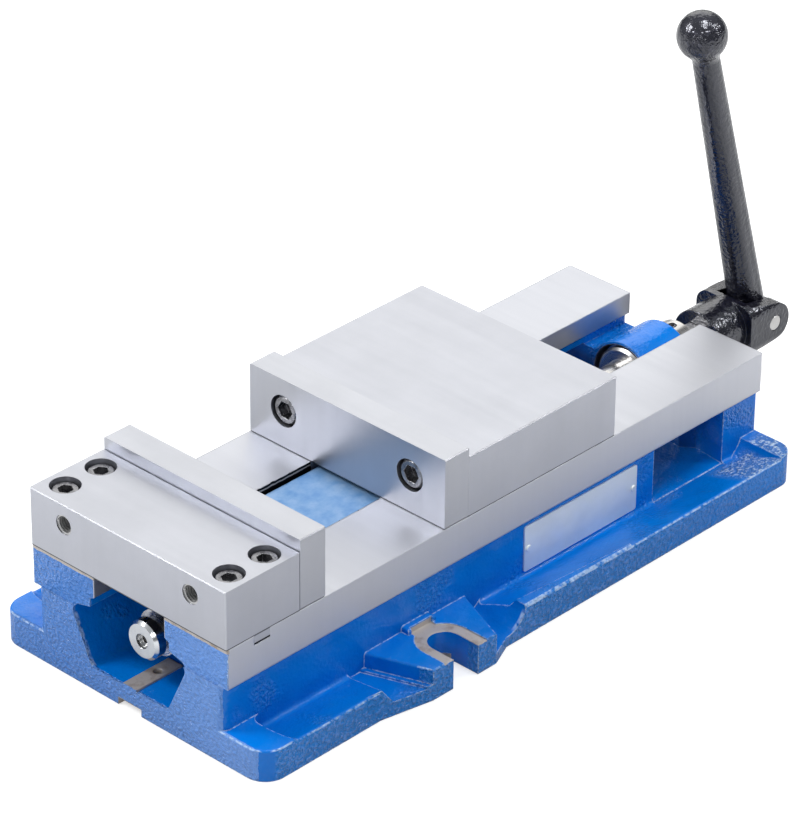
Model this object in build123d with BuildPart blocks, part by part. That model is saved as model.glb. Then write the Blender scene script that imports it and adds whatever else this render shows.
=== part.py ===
from build123d import *
import os
from math import cos, radians, sin, sqrt, tan

# An angle lock machine vise with 152 mm jaws, as bolted to a milling machine's table.
# The frame: the origin is the centre of the bed's footprint on its underside, +X runs
# from the fixed jaw towards the handle, +Y to the side without the nameplate, +Z up.
# A station is a distance from the front end of the bed.

os.makedirs("parts", exist_ok=True)

# Bed: overall sizes
bed_length = 442.0
bed_height = 74.0
jaw_width = 152.0
over = 6.0                      # how far a cutting shape runs past the face it cuts

# Bed: rails and walls
rail_depth = 25.5               # machined side face, down from the top of the rail
wall_inset = 3.0                # cast wall behind the machined side face
post_corner = 6.0
rear_post_corner = 1.0
rail_end_corner = 1.0
front_ledge = 1.0               # the rail's cast front end lies back from the post
guide_slot = 55.2               # between the machined inner faces
guide_depth = 14.0
guide_relief = 3.4              # the painted face below the guide lies back
lump_bottom = 53.0              # where the thick rail ends below the guide

# Bed: the channel under the rails
channel_top_half = 46.0
channel_top = 49.0
channel_floor_half = 30.0
channel_floor = 14.5
channel_corner = 5.0
pad_width = 11.0
pad_rise = 1.0
pad_length = 35.0
pad_hole_station = 21.5
pad_hole_radius = 2.5

# Bed: the flange with its coolant trough
flange_width = 210.0
flange_top = 20.0
flange_front_corner = 14.0
flange_rear_corner = 12.0
flange_edge = 1.6               # rounding of the cast edges
trough_foot = 9.5
trough_rim = 19.3
trough_corner = 2.5
front_pad = 20.0                # full height of the flange at the front end
pad_step = 7.0                  # radius where a pad steps down into the trough
rear_pad = 12.0
rear_pad_ramp = 16.0            # radius of the curve up to the rear pad
ridge_length = 90.0
ridge_rise = 0.6                # above the flange, where the ridge starts
ridge_width = 9.0
ridge_end_width = 2.5

# Bed: the ears with their slots
ear_station = 149.0
ear_half = 112.0
ear_root_front = 40.5           # from the slot's centre to the ear's edge at the wall
ear_root_rear = 41.0
ear_tip_front = 26.0
ear_tip_rear = 25.0
slot_width = 20.0
slot_depth = 16.0               # from the ear's tip to the centre of the slot's round end
spot_face_width = 34.0
spot_face_depth = 0.8
lug_width = 22.0                # cast lug between the spot face and the wall
lug_depth = 5.6
lug_rise = 3.4
lug_edge = 1.4
lug_cut_width = 17.0            # the cutter takes its middle back to a flat face
lug_cut_depth = 1.6
drain_rim_end = 60.0            # from the slot's centre to the end of the front rim
drain_slope = 8.0
drain_floor = 9.0
drain_corner = 3.0
sill_width = 3.4                # low step along the foot of the ear's front face
sill_top = 10.4
valley_rim_start = 57.0         # from the slot's centre to the start of the rear rim
valley_floor = 6.5
valley_corner = 16.0            # the rim's end rises out of the valley in this curve

# Bed: rear end
post_length = 30.0
window_length = 62.0
window_sill = 10.0
web_thickness = 37.0
shelf_height = 52.0
housing_radius = 24.0
housing_fillet = 6.0            # between the housing and the shelf
bearing_pocket_radius = 22.2
bearing_pocket_depth = 15.0

# Bed: key slots in the underside
key_width = 18.0
key_depth = 4.5
key_length = 60.0
cross_key_length = 40.0

# Jaws and their plates
fixed_jaw_length = 55.9
fixed_jaw_top = 110.75
tongue_station = 27.0
tongue_width = 12.0
tongue_depth = 5.6
keyway_depth = 6.0
tongue_fit = 0.1
plate_thickness = 19.05
plate_height = 44.45
plate_lift = 0.15               # under each plate
plate_screw_inset = 26.8        # from the side of the jaw
plate_screw_height = 24.0       # above the rails
jaw_opening = 93.9
movable_jaw_length = 122.8
movable_jaw_top = 112.9
jaw_edge = 0.6
outer_hole_depth = 26.0         # tapped holes in the fixed jaw's outer face
jaw_glide = 0.05                # under the movable jaw

# Socket head screws: thread, head and hexagon of the two sizes
bolt_thread = 10.0
bolt_head = 16.0
bolt_head_height = 10.0
bolt_hex = 8.0
bolt_recess = 2.4
bolt_counterbore = 18.0
bolt_reach = 20.0               # into the rail
bolt_inset = 12.5               # from the side of the jaw
bolt_front_station = 15.0
bolt_rear_station = 41.5
screw_thread = 12.0
screw_head = 18.0
screw_head_height = 12.0
screw_hex = 10.0
screw_recess = 1.2
screw_counterbore = 20.0
screw_reach = 24.0              # into the jaw
tap_run_out = 2.0
hex_depth_share = 0.5
head_edge_share = 0.1
thread_play = 0.1

# Screw and its bearing
screw_height = 40.5
screw_radius = 14.0
screw_nut_play = 0.06
screw_front_station = 22.0
screw_relief = 33.0             # plain neck between the thread and the flange
screw_neck_radius = 12.0
screw_tip_radius = 4.5
screw_tip_recess = 3.0          # behind the front collar's face
screw_tip_hex = 5.0
screw_flange_radius = 19.8
screw_flange_length = 5.0
screw_flange_edge = 1.6
screw_shank_radius = 12.0
running_play = 0.05
race_thickness = 3.0
race_play = 0.5                 # between the standing race and the turning shank
needle_radius = 1.95
needle_count = 16
needle_length = 5.6
needle_ring_radius = 16.3
cage_thickness = 2.6
cage_inner_radius = 12.3
cage_outer_radius = 20.0
cage_play = 0.15
race_outer_radius = 20.5
front_collar_radius = 12.0
front_collar_length = 9.0
front_collar_chamfer = 1.8
front_collar_station = 10.0
rear_collar_radius = 19.0
rear_collar_length = 13.5
rear_collar_gap = 0.5
front_collar_screw_radius = 2.0
front_collar_screw_tilt = 15.0
rear_collar_screw_radius = 3.0
collar_screw_length = 5.0
drive_hex = 19.0
drive_length = 38.0

# Nut and the angle lock
nut_play = 0.3                  # each side, in the guide slot
nut_top = 70.0
nut_bottom = 24.0
nut_block_station = 196.0
nut_block_length = 66.0
nut_extension_station = 40.0
nut_extension_half = 26.2
nut_channel_half = 19.0
nut_channel_top = 60.5
nut_skirt_bottom = 28.0
nut_flange_half = 34.0
nut_flange_top = 48.0
nut_flange_bottom = 30.0
nut_corner = 1.5
lock_angle = 26.6               # of the pulling face, from the vertical
lock_height = 91.0              # centre of the half ball
lock_station = 228.0
ball_radius = 13.0
ball_proud = 2.5                # the flat of the half ball stands out of the jaw
ball_play = 0.1
boss_half = 15.0
boss_top = 101.0
boss_rear_station = 258.0
pocket_half = 18.0
pocket_top = 105.0
pocket_rear_station = 272.0
jaw_guide_station = 276.0
jaw_guide_length = 28.0
jaw_guide_depth = 8.5
set_screw_radius = 5.0
set_screw_height = 90.0
set_screw_length = 46.0
set_screw_hex = 5.0

# Handle
handle_start = 16.7             # from the end of the rear collar to the socket
socket_radius = 18.2
socket_length = 25.3
socket_play = 0.15
socket_depth = 22.5
shoulder_length = 5.0
shoulder_half = 17.5            # above and below the screw's axis
shoulder_corner = 9.0
shoulder_edge = 1.0
fork_half = 22.0
fork_slot = 23.0
fork_slot_floor = 1.5           # behind the shoulder
fork_root_step = 2.5            # the fork's root is lower than the shoulder
pin_reach = 18.0                # from the shoulder to the pin
pin_radius = 5.0
pin_play = 0.03
fork_eye_radius = 12.8
arm_lean = 15.1                 # towards the jaws, from the vertical
arm_length = 213.6              # pin to the centre of the knob
arm_play = 0.3                  # each side, in the fork
arm_eye_radius = 12.2
arm_root_start = 6.0
arm_sides = 8
arm_neck = 16.5
root_corner_share = 0.5         # corner radius of the bar, as a share of half its width
neck_corner_share = 0.9
neck_fillet = 14.0              # where the bar swells into the knob
knob_radius = 15.3
pin_edge = 0.5

# Nameplate
nameplate_station = 286.0
nameplate_length = 96.0
nameplate_height = 30.0
nameplate_centre = 28.5
nameplate_thickness = 1.0
nameplate_corner = 1.5
rivet_spread = 90.0
rivet_radius = 1.2
rivet_head_radius = 2.1
rivet_head_height = 0.9
rivet_dome_share = 0.8
rivet_length = 5.0


def station(distance):
    """X of a place that lies this far behind the front end of the bed."""
    return distance - bed_length / 2


# Worked out from the driving dimensions
front = station(0)
rear = station(bed_length)
jaw_half = jaw_width / 2
wall_half = jaw_half - wall_inset
flange_half = flange_width / 2
rail_bottom = bed_height - rail_depth
guide_half = guide_slot / 2
guide_bottom = bed_height - guide_depth
relief_half = guide_half + guide_relief
ear_x = station(ear_station)
lug_face = wall_half + lug_depth - lug_cut_depth
web_x = rear - web_thickness
post_x = rear - post_length
window_x = post_x - window_length
fixed_plate_x = station(fixed_jaw_length)
fixed_face_x = fixed_plate_x + plate_thickness
movable_face_x = fixed_face_x + jaw_opening
movable_jaw_x = movable_face_x + plate_thickness
movable_jaw_end = movable_jaw_x + movable_jaw_length
plate_bottom = bed_height + plate_lift
plate_screw_z = bed_height + plate_screw_height
pocket_floor_x = web_x + bearing_pocket_depth
lock_x = station(lock_station)
boss_rear_x = station(boss_rear_station)
rear_race_x = pocket_floor_x - race_thickness
needle_x = rear_race_x - needle_radius - running_play
front_race_x = needle_x - needle_radius - running_play - race_thickness
thread_end_x = front_race_x - screw_flange_length - screw_relief
rear_collar_x = rear + rear_collar_gap
rear_collar_end = rear_collar_x + rear_collar_length
socket_x = rear_collar_end + handle_start
shoulder_x = socket_x + socket_length
fork_x = shoulder_x + shoulder_length
pin_x = fork_x + pin_reach
fixed_bolt_places = [
    (station(along), side * (jaw_half - bolt_inset))
    for along in (bolt_front_station, bolt_rear_station)
    for side in (-1, 1)
]
plate_screw_places = [(side * (jaw_half - plate_screw_inset), plate_screw_z) for side in (-1, 1)]
rivet_places = [
    (station(nameplate_station) + end * rivet_spread / 2, nameplate_centre) for end in (-1, 1)
]


def socket_screw(head_plane, thread, head, head_height, hexagon, stem):
    """A socket head screw: its head's top face lies on the plane, its stem points down."""
    with BuildPart() as one:
        with BuildSketch(head_plane) as crown:
            Circle(head / 2)
        extrude(amount=-head_height)
        upright = Axis(head_plane.origin, head_plane.z_dir)
        chamfer(one.edges().group_by(upright)[-1], head_height * head_edge_share)
        with BuildSketch(head_plane.offset(-head_height)) as stem_face:
            Circle(thread / 2 - thread_play)
        extrude(amount=-stem)
        with BuildSketch(head_plane) as key:
            RegularPolygon(hexagon / 2, 6, major_radius=False)
        extrude(amount=-head_height * hex_depth_share, mode=Mode.SUBTRACT)
    return one.part


def group(pieces, name):
    """Separate pieces written as one node."""
    with BuildPart() as gathered:
        for piece in pieces:
            add(piece)
    gathered.part.label = name
    export_step(gathered.part, "parts/" + name + ".step")


def lock_line(offset, z):
    """X of the pulling face at height z, moved by an offset square to the face."""
    lean = radians(lock_angle)
    return lock_x + offset * cos(lean) - (z - lock_height - offset * sin(lean)) * tan(lean)


# Cutting shapes for the flange, made for one side and used on both

# The sill stays in front of the ear
with BuildPart() as sill:
    with BuildSketch(Plane.XY) as sill_plan:
        with BuildLine():
            Polyline(
                (ear_x - ear_root_front - sill_width, wall_half - over),
                (ear_x - ear_root_front - sill_width, wall_half),
                (ear_x - ear_tip_front - sill_width, ear_half),
                (ear_x - ear_tip_front - sill_width, ear_half + over),
                (ear_x, ear_half + over),
                (ear_x, wall_half - over),
                close=True,
            )
        make_face()
    extrude(amount=sill_top)

# The trough is cut down beside the wall, from the front pad to the ear
with BuildPart() as front_trough:
    with BuildSketch(Plane.YZ.offset(front + front_pad)) as front_section:
        with BuildLine():
            rise = (trough_rim - trough_foot) / (flange_half - wall_half)
            Polyline(
                (wall_half, trough_foot),
                (flange_half + over, trough_rim + rise * over),
                (flange_half + over, flange_top + over),
                (wall_half, flange_top + over),
                close=True,
            )
        make_face()
        fillet(front_section.vertices().sort_by_distance((wall_half, trough_foot))[0], trough_corner)
    extrude(amount=ear_x - front - front_pad)
    front_end = front_trough.faces().sort_by(Axis.X)[0]
    fillet(front_end.edges().sort_by(Axis.Z)[0:2], pad_step)
    # The ear's front edge ends it
    with BuildSketch(Plane.XY) as before_ear:
        with BuildLine():
            Polyline(
                (front, wall_half - over),
                (ear_x - ear_root_front, wall_half - over),
                (ear_x - ear_root_front, wall_half),
                (ear_x - ear_tip_front, ear_half),
                (ear_x - ear_tip_front, ear_half + over),
                (front, ear_half + over),
                close=True,
            )
        make_face()
    extrude(amount=flange_top + 2 * over, mode=Mode.INTERSECT)
    add(sill.part, mode=Mode.SUBTRACT)

# The drain lets the coolant out in front of the ear
with BuildPart() as front_drain:
    with BuildSketch(Plane.XZ.offset(-wall_half)) as drain_section:
        with BuildLine():
            Polyline(
                (ear_x - drain_rim_end, flange_top + over),
                (ear_x - drain_rim_end, flange_top),
                (ear_x - drain_rim_end + drain_slope, drain_floor),
                (ear_x, drain_floor),
                (ear_x, flange_top + over),
                close=True,
            )
        make_face()
        drain_low = (ear_x - drain_rim_end + drain_slope, drain_floor)
        fillet(drain_section.vertices().sort_by_distance(drain_low)[0], drain_corner)
    extrude(amount=-(ear_half + over - wall_half))
    with BuildSketch(Plane.XY) as before_ear_again:
        with BuildLine():
            Polyline(
                (front, wall_half),
                (ear_x - ear_root_front, wall_half),
                (ear_x - ear_tip_front, ear_half),
                (ear_x - ear_tip_front, ear_half + over),
                (front, ear_half + over),
                close=True,
            )
        make_face()
    extrude(amount=flange_top + 2 * over, mode=Mode.INTERSECT)
    add(sill.part, mode=Mode.SUBTRACT)

# Behind the ear the trough is wider and runs on to the rear pad
with BuildPart() as rear_trough:
    with BuildSketch(Plane.YZ.offset(ear_x)) as rear_section:
        with BuildLine():
            Polyline(
                (wall_half, trough_foot),
                (flange_half + over, trough_rim + rise * over),
                (flange_half + over, flange_top + over),
                (wall_half, flange_top + over),
                close=True,
            )
        make_face()
        fillet(rear_section.vertices().sort_by_distance((wall_half, trough_foot))[0], trough_corner)
    extrude(amount=rear - rear_pad - ear_x)
    # It curves up to the pad
    with BuildSketch(Plane.XZ.offset(-wall_half)) as ramp:
        with BuildLine():
            Polyline(
                (ear_x, trough_foot),
                (rear - rear_pad, trough_foot),
                (rear - rear_pad, trough_foot + rear_pad_ramp + over),
                (ear_x, trough_foot + rear_pad_ramp + over),
                close=True,
            )
        make_face()
        ramp_corner = (rear - rear_pad, trough_foot)
        fillet(ramp.vertices().sort_by_distance(ramp_corner)[0], rear_pad_ramp)
    extrude(amount=-(flange_half + over - wall_half), mode=Mode.INTERSECT)
    with BuildSketch(Plane.XY) as behind_ear:
        with BuildLine():
            Polyline(
                (rear, wall_half),
                (ear_x + ear_root_rear, wall_half),
                (ear_x + ear_tip_rear, ear_half),
                (ear_x + ear_tip_rear, ear_half + over),
                (rear, ear_half + over),
                close=True,
            )
        make_face()
    extrude(amount=flange_top + 2 * over, mode=Mode.INTERSECT)

# The valley between the ear and the long rim is the rear drain
with BuildPart() as rear_valley:
    with BuildSketch(Plane.XY.offset(valley_floor)) as valley_plan:
        with BuildLine():
            Polyline(
                (ear_x + ear_root_rear, wall_half),
                (ear_x + valley_rim_start, wall_half),
                (ear_x + valley_rim_start, ear_half + over),
                (ear_x + ear_tip_rear, ear_half + over),
                (ear_x + ear_tip_rear, ear_half),
                close=True,
            )
        make_face()
    extrude(amount=flange_top + over)
    valley_end = rear_valley.faces().sort_by(Axis.X)[-1]
    fillet(valley_end.edges().sort_by(Axis.Z)[0], valley_corner)

# The rim carries a flat ridge that narrows and dies away towards the rear
with BuildPart() as ridge:
    for along, width, crest in (
        (ear_x + ear_root_rear, ridge_width, flange_top + ridge_rise),
        (ear_x + valley_rim_start + ridge_length, ridge_end_width, trough_rim),
    ):
        with BuildSketch(Plane.YZ.offset(along)) as ridge_section:
            with BuildLine():
                Polyline(
                    (flange_half - 2 * width, trough_foot),
                    (flange_half - width, crest),
                    (flange_half - flange_edge, crest),
                    (flange_half, crest - flange_edge),
                    (flange_half, trough_foot),
                    close=True,
                )
            make_face()
    loft()

# A cast lug stands on the ear against the wall, and the cutter flattened its middle
with BuildPart() as lug:
    with BuildSketch(Plane.XY.offset(flange_top - spot_face_depth)) as lug_plan:
        with Locations((ear_x, wall_half)):
            Rectangle(lug_width, 2 * lug_depth)
    extrude(amount=lug_rise + spot_face_depth)
    fillet(lug.faces().sort_by(Axis.Z)[-1].edges(), lug_edge)
    with BuildSketch(Plane.XY.offset(flange_top - spot_face_depth)) as lug_cut:
        with Locations((ear_x, wall_half + lug_depth)):
            Rectangle(lug_cut_width, 2 * lug_cut_depth)
    extrude(amount=lug_rise + spot_face_depth, mode=Mode.SUBTRACT)

# A window's floor falls outwards, and its rear corner is cut across at the web
with BuildPart() as window:
    with BuildSketch(Plane.YZ.offset(window_x)) as window_section:
        with BuildLine():
            Polyline(
                (channel_floor_half, channel_floor),
                (wall_half, window_sill),
                (wall_half, trough_foot),
                (jaw_half + over, trough_foot + rise * (jaw_half + over - wall_half)),
                (jaw_half + over, rail_bottom),
                (channel_floor_half, rail_bottom),
                close=True,
            )
        make_face()
    extrude(amount=post_x - window_x)
    with BuildSketch(Plane.XY) as window_plan:
        with BuildLine():
            Polyline(
                (window_x, channel_floor_half),
                (web_x, channel_floor_half),
                (web_x, channel_top_half),
                (post_x, channel_top_half + post_x - web_x),
                (post_x, jaw_half + over),
                (window_x, jaw_half + over),
                close=True,
            )
        make_face()
    extrude(amount=bed_height, mode=Mode.INTERSECT)

with BuildPart() as bed:
    # Footing plate with the ears
    with BuildSketch(Plane.XY) as footing:
        with BuildLine():
            Polyline(
                (front, 0),
                (front, flange_half),
                (ear_x - drain_rim_end, flange_half),
                (ear_x - ear_tip_front, ear_half),
                (ear_x + ear_tip_rear, ear_half),
                (ear_x + ear_root_rear, flange_half),
                (rear, flange_half),
                (rear, 0),
            )
            mirror(about=Plane.XZ)
        make_face()
        fillet(footing.vertices().group_by(Axis.X)[0], flange_front_corner)
        fillet(footing.vertices().group_by(Axis.X)[-1], flange_rear_corner)
    extrude(amount=flange_top)

    for cutter in (front_trough, front_drain, rear_trough):
        add(cutter.part, mode=Mode.SUBTRACT)
        add(mirror(cutter.part, about=Plane.XZ, mode=Mode.PRIVATE), mode=Mode.SUBTRACT)
    rims = bed.edges().filter_by(Axis.X).group_by(Axis.Z)[-2]
    front_pad_edges = (
        bed.edges()
        .filter_by_position(Axis.Z, flange_top, flange_top)
        .filter_by_position(Axis.X, front, front + flange_front_corner)
    )
    fillet(rims + front_pad_edges, flange_edge)
    add(ridge.part)
    add(mirror(ridge.part, about=Plane.XZ, mode=Mode.PRIVATE))
    add(rear_valley.part, mode=Mode.SUBTRACT)
    add(mirror(rear_valley.part, about=Plane.XZ, mode=Mode.PRIVATE), mode=Mode.SUBTRACT)
    ear_rims = (
        bed.edges()
        .filter_by_position(Axis.Z, flange_top, flange_top)
        .filter_by_position(Axis.X, ear_x - ear_root_front, ear_x + ear_root_rear)
    )
    fillet(ear_rims, flange_edge)

    # Cast walls, from the footing to the rails
    with BuildSketch(Plane.XY) as walls:
        with Locations(((front + rear) / 2, 0)):
            Rectangle(bed_length, 2 * wall_half)
        fillet(walls.vertices().group_by(Axis.X)[0], post_corner)
        fillet(walls.vertices().group_by(Axis.X)[-1], rear_post_corner)
    extrude(amount=rail_bottom)

    # Machined rails
    with BuildSketch(Plane.XY.offset(rail_bottom)) as rails:
        with Locations(((front + front_ledge + rear) / 2, 0)):
            Rectangle(bed_length - front_ledge, jaw_width)
        fillet(rails.vertices().group_by(Axis.X)[-1], rail_end_corner)
    extrude(amount=rail_depth)

    # The channel and the guide slot, open at the front
    with BuildSketch(Plane.YZ.offset(front)) as channel:
        with BuildLine():
            Polyline(
                (0, bed_height + over),
                (guide_half, bed_height + over),
                (guide_half, guide_bottom),
                (relief_half, guide_bottom - guide_relief / 2),
                (relief_half, lump_bottom),
                (channel_top_half, channel_top),
                (channel_floor_half, channel_floor),
                (0, channel_floor),
            )
            mirror(about=Plane.YZ)
        make_face()
        for side in (-1, 1):
            for half, z in ((channel_top_half, channel_top), (channel_floor_half, channel_floor)):
                fillet(channel.vertices().sort_by_distance((side * half, z))[0], channel_corner)
    extrude(amount=web_x - front, mode=Mode.SUBTRACT)

    # Over the rear web the slot goes on above a shelf
    with BuildSketch(Plane.YZ.offset(web_x)) as over_web:
        with Locations((0, (shelf_height + bed_height + over) / 2)):
            Rectangle(2 * relief_half, bed_height + over - shelf_height)
    extrude(amount=web_thickness, mode=Mode.SUBTRACT)
    with BuildSketch(Plane.YZ.offset(web_x)) as guide_lips:
        for side in (-1, 1):
            with Locations((side * (guide_half + relief_half) / 2, (guide_bottom + bed_height) / 2)):
                Rectangle(guide_relief, guide_depth)
    extrude(amount=web_thickness)

    # Bearing housing, rounded into the shelf
    with BuildSketch(Plane.YZ.offset(web_x)) as housing:
        with Locations((0, screw_height)):
            Circle(housing_radius)
        with Locations((0, (screw_height + shelf_height) / 2)):
            Rectangle(2 * relief_half, shelf_height - screw_height)
        meeting = sqrt(housing_radius**2 - (shelf_height - screw_height) ** 2)
        for side in (-1, 1):
            crossing = (side * meeting, shelf_height)
            fillet(housing.vertices().sort_by_distance(crossing)[0], housing_fillet)
    extrude(amount=web_thickness)

    # Side windows in front of the rear posts
    add(window.part, mode=Mode.SUBTRACT)
    add(mirror(window.part, about=Plane.XZ, mode=Mode.PRIVATE), mode=Mode.SUBTRACT)

    # Bearing pocket and the hole for the screw's shank
    with BuildSketch(Plane.YZ.offset(web_x)) as pocket:
        with Locations((0, screw_height)):
            Circle(bearing_pocket_radius)
    extrude(amount=bearing_pocket_depth, mode=Mode.SUBTRACT)
    with BuildSketch(Plane.YZ.offset(web_x)) as shank_hole:
        with Locations((0, screw_height)):
            Circle(screw_shank_radius + running_play)
    extrude(amount=web_thickness, mode=Mode.SUBTRACT)

    # Keyways across the rails for the fixed jaw's tongues
    with BuildSketch(Plane.XY.offset(bed_height)) as keyways:
        with Locations((station(tongue_station), 0)):
            Rectangle(tongue_width, jaw_width + 2 * over)
    extrude(amount=-keyway_depth, mode=Mode.SUBTRACT)

    # Tapped holes for the fixed jaw's bolts
    with Locations(Plane.XY.offset(bed_height)):
        with Locations(*fixed_bolt_places):
            Hole(bolt_thread / 2, depth=bolt_reach + over)

    # Bare pad on the channel floor, with its tapped hole
    with BuildSketch(Plane.XY.offset(channel_floor)) as pad:
        with Locations((front + pad_length / 2, 0)):
            Rectangle(pad_length, pad_width)
    extrude(amount=pad_rise)
    with Locations(Plane.XY.offset(channel_floor + pad_rise)):
        with Locations((station(pad_hole_station), 0)):
            Hole(pad_hole_radius)

    # Lugs between the spot faces and the walls, with a flat face where the cutter ran
    for side in (-1, 1):
        add(mirror(lug.part, about=Plane.XZ, mode=Mode.PRIVATE) if side < 0 else lug.part)

    # Slots and spot faces for the clamping bolts
    for side in (-1, 1):
        with BuildSketch(Plane.XY.offset(flange_top)) as spot_face:
            with Locations((ear_x, side * (ear_half - slot_depth))):
                Circle(spot_face_width / 2)
            with Locations((ear_x, side * (lug_face + ear_half - slot_depth) / 2)):
                Rectangle(lug_cut_width, ear_half - slot_depth - lug_face)
            with Locations((ear_x, side * (ear_half - slot_depth / 2 + over / 2))):
                Rectangle(spot_face_width, slot_depth + over)
        extrude(amount=-spot_face_depth, mode=Mode.SUBTRACT)
        with BuildSketch(Plane.XY) as slot:
            with Locations((ear_x, side * (ear_half - slot_depth))):
                Circle(slot_width / 2)
            with Locations((ear_x, side * (ear_half - slot_depth / 2 + over / 2))):
                Rectangle(slot_width, slot_depth + over)
        extrude(amount=flange_top + over, mode=Mode.SUBTRACT)

    # Key slots in the underside
    with BuildSketch(Plane.XY) as keys:
        for end in (-1, 1):
            with Locations((end * (bed_length - key_length + over) / 2, 0)):
                Rectangle(key_length + over, key_width)
            with Locations((ear_x, end * (flange_half + over - cross_key_length / 2))):
                Rectangle(key_width, cross_key_length + 2 * over)
    extrude(amount=key_depth, mode=Mode.SUBTRACT)

    # Rivet holes for the nameplate
    with BuildSketch(Plane.XZ.offset(wall_half)) as rivet_holes:
        with Locations(*rivet_places):
            Circle(rivet_radius + thread_play)
    extrude(amount=-rivet_length, mode=Mode.SUBTRACT)

bed.part.label = "bed"
export_step(bed.part, "parts/bed.step")

# Fixed jaw
with BuildPart() as fixed_jaw:
    with BuildSketch(Plane.XZ.offset(jaw_half)) as fixed_side:
        with BuildLine():
            Polyline(
                (front, bed_height),
                (fixed_plate_x, bed_height),
                (fixed_plate_x, fixed_jaw_top),
                (front, fixed_jaw_top),
                close=True,
            )
        make_face()
    extrude(amount=-jaw_width)
    chamfer(fixed_jaw.edges().filter_by(Axis.Z), jaw_edge)
    chamfer(fixed_jaw.edges().filter_by(Axis.Y).group_by(Axis.Z)[-1], jaw_edge)
    # A tongue over each rail locates the jaw along the bed
    with BuildSketch(Plane.XY.offset(bed_height)) as tongues:
        for side in (-1, 1):
            with Locations((station(tongue_station), side * (guide_half + jaw_half) / 2)):
                Rectangle(tongue_width - 2 * tongue_fit, jaw_half - guide_half)
    extrude(amount=-tongue_depth)
    with Locations(Plane.XY.offset(fixed_jaw_top)):
        with Locations(*fixed_bolt_places):
            CounterBoreHole(
                bolt_thread / 2 + thread_play,
                bolt_counterbore / 2,
                bolt_head_height + bolt_recess,
            )
    # Tapped from the inside for its plate, and from the outside to take another one there
    with BuildSketch(Plane.YZ.offset(fixed_plate_x)) as inner_holes:
        with Locations(*plate_screw_places):
            Circle(screw_thread / 2)
    extrude(amount=-screw_reach - tap_run_out, mode=Mode.SUBTRACT)
    with BuildSketch(Plane.YZ.offset(front)) as outer_holes:
        with Locations(*plate_screw_places):
            Circle(screw_thread / 2)
    extrude(amount=outer_hole_depth, mode=Mode.SUBTRACT)
fixed_jaw.part.label = "fixed_jaw"
export_step(fixed_jaw.part, "parts/fixed_jaw.step")


def jaw_plate(back_x, face_x, name):
    """A hardened plate between two X values, counterbored from its gripping face."""
    outward = 1 if face_x > back_x else -1
    with BuildPart() as plate:
        with BuildSketch(Plane.YZ.offset(min(back_x, face_x))) as outline:
            with Locations((0, plate_bottom + plate_height / 2)):
                Rectangle(jaw_width, plate_height)
        extrude(amount=plate_thickness)
        chamfer(plate.edges().filter_by(Axis.X), jaw_edge)
        with BuildSketch(Plane.YZ.offset(face_x)) as heads:
            with Locations(*plate_screw_places):
                Circle(screw_counterbore / 2)
        extrude(amount=-outward * (screw_head_height + screw_recess), mode=Mode.SUBTRACT)
        with BuildSketch(Plane.YZ.offset(face_x)) as stems:
            with Locations(*plate_screw_places):
                Circle(screw_thread / 2 + thread_play)
        extrude(amount=-outward * plate_thickness, mode=Mode.SUBTRACT)
    plate.part.label = name
    export_step(plate.part, "parts/" + name + ".step")
    return plate.part


jaw_plate(fixed_plate_x, fixed_face_x, "fixed_jaw_plate")
jaw_plate(movable_jaw_x, movable_face_x, "movable_jaw_plate")

# Movable jaw
with BuildPart() as movable_jaw:
    with BuildSketch(Plane.XY.offset(bed_height + jaw_glide)) as jaw_block:
        with Locations(((movable_jaw_x + movable_jaw_end) / 2, 0)):
            Rectangle(movable_jaw_length, jaw_width)
    extrude(amount=movable_jaw_top - bed_height - jaw_glide)
    chamfer(movable_jaw.edges().filter_by(Axis.Z), jaw_edge)
    chamfer(movable_jaw.faces().sort_by(Axis.Z)[-1].edges(), jaw_edge)
    # The guide under the rear of the jaw runs in the slot
    with BuildSketch(Plane.XY.offset(bed_height - jaw_guide_depth)) as guide:
        with Locations((station(jaw_guide_station) + jaw_guide_length / 2, 0)):
            Rectangle(jaw_guide_length, 2 * (guide_half - nut_play))
    extrude(amount=jaw_guide_depth + jaw_edge)
    # Pocket for the nut's boss: its front wall leans as the pulling face does
    with BuildSketch(Plane.XZ.offset(pocket_half)) as jaw_pocket:
        with BuildLine():
            Polyline(
                (lock_line(-ball_proud, bed_height), bed_height),
                (lock_line(-ball_proud, pocket_top), pocket_top),
                (station(pocket_rear_station), pocket_top),
                (station(pocket_rear_station), bed_height),
                close=True,
            )
        make_face()
    extrude(amount=-2 * pocket_half, mode=Mode.SUBTRACT)
    # Spherical seat for the half ball
    with Locations((lock_x, 0, lock_height)):
        Sphere(ball_radius + ball_play, mode=Mode.SUBTRACT)
    with BuildSketch(Plane.YZ.offset(movable_jaw_x)) as jaw_tapped:
        with Locations(*plate_screw_places):
            Circle(screw_thread / 2)
    extrude(amount=screw_reach + tap_run_out, mode=Mode.SUBTRACT)
    with BuildSketch(Plane.YZ.offset(station(pocket_rear_station))) as jaw_set_hole:
        with Locations((0, set_screw_height)):
            Circle(set_screw_radius)
    extrude(amount=movable_jaw_end - station(pocket_rear_station), mode=Mode.SUBTRACT)
movable_jaw.part.label = "movable_jaw"
export_step(movable_jaw.part, "parts/movable_jaw.step")

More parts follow.
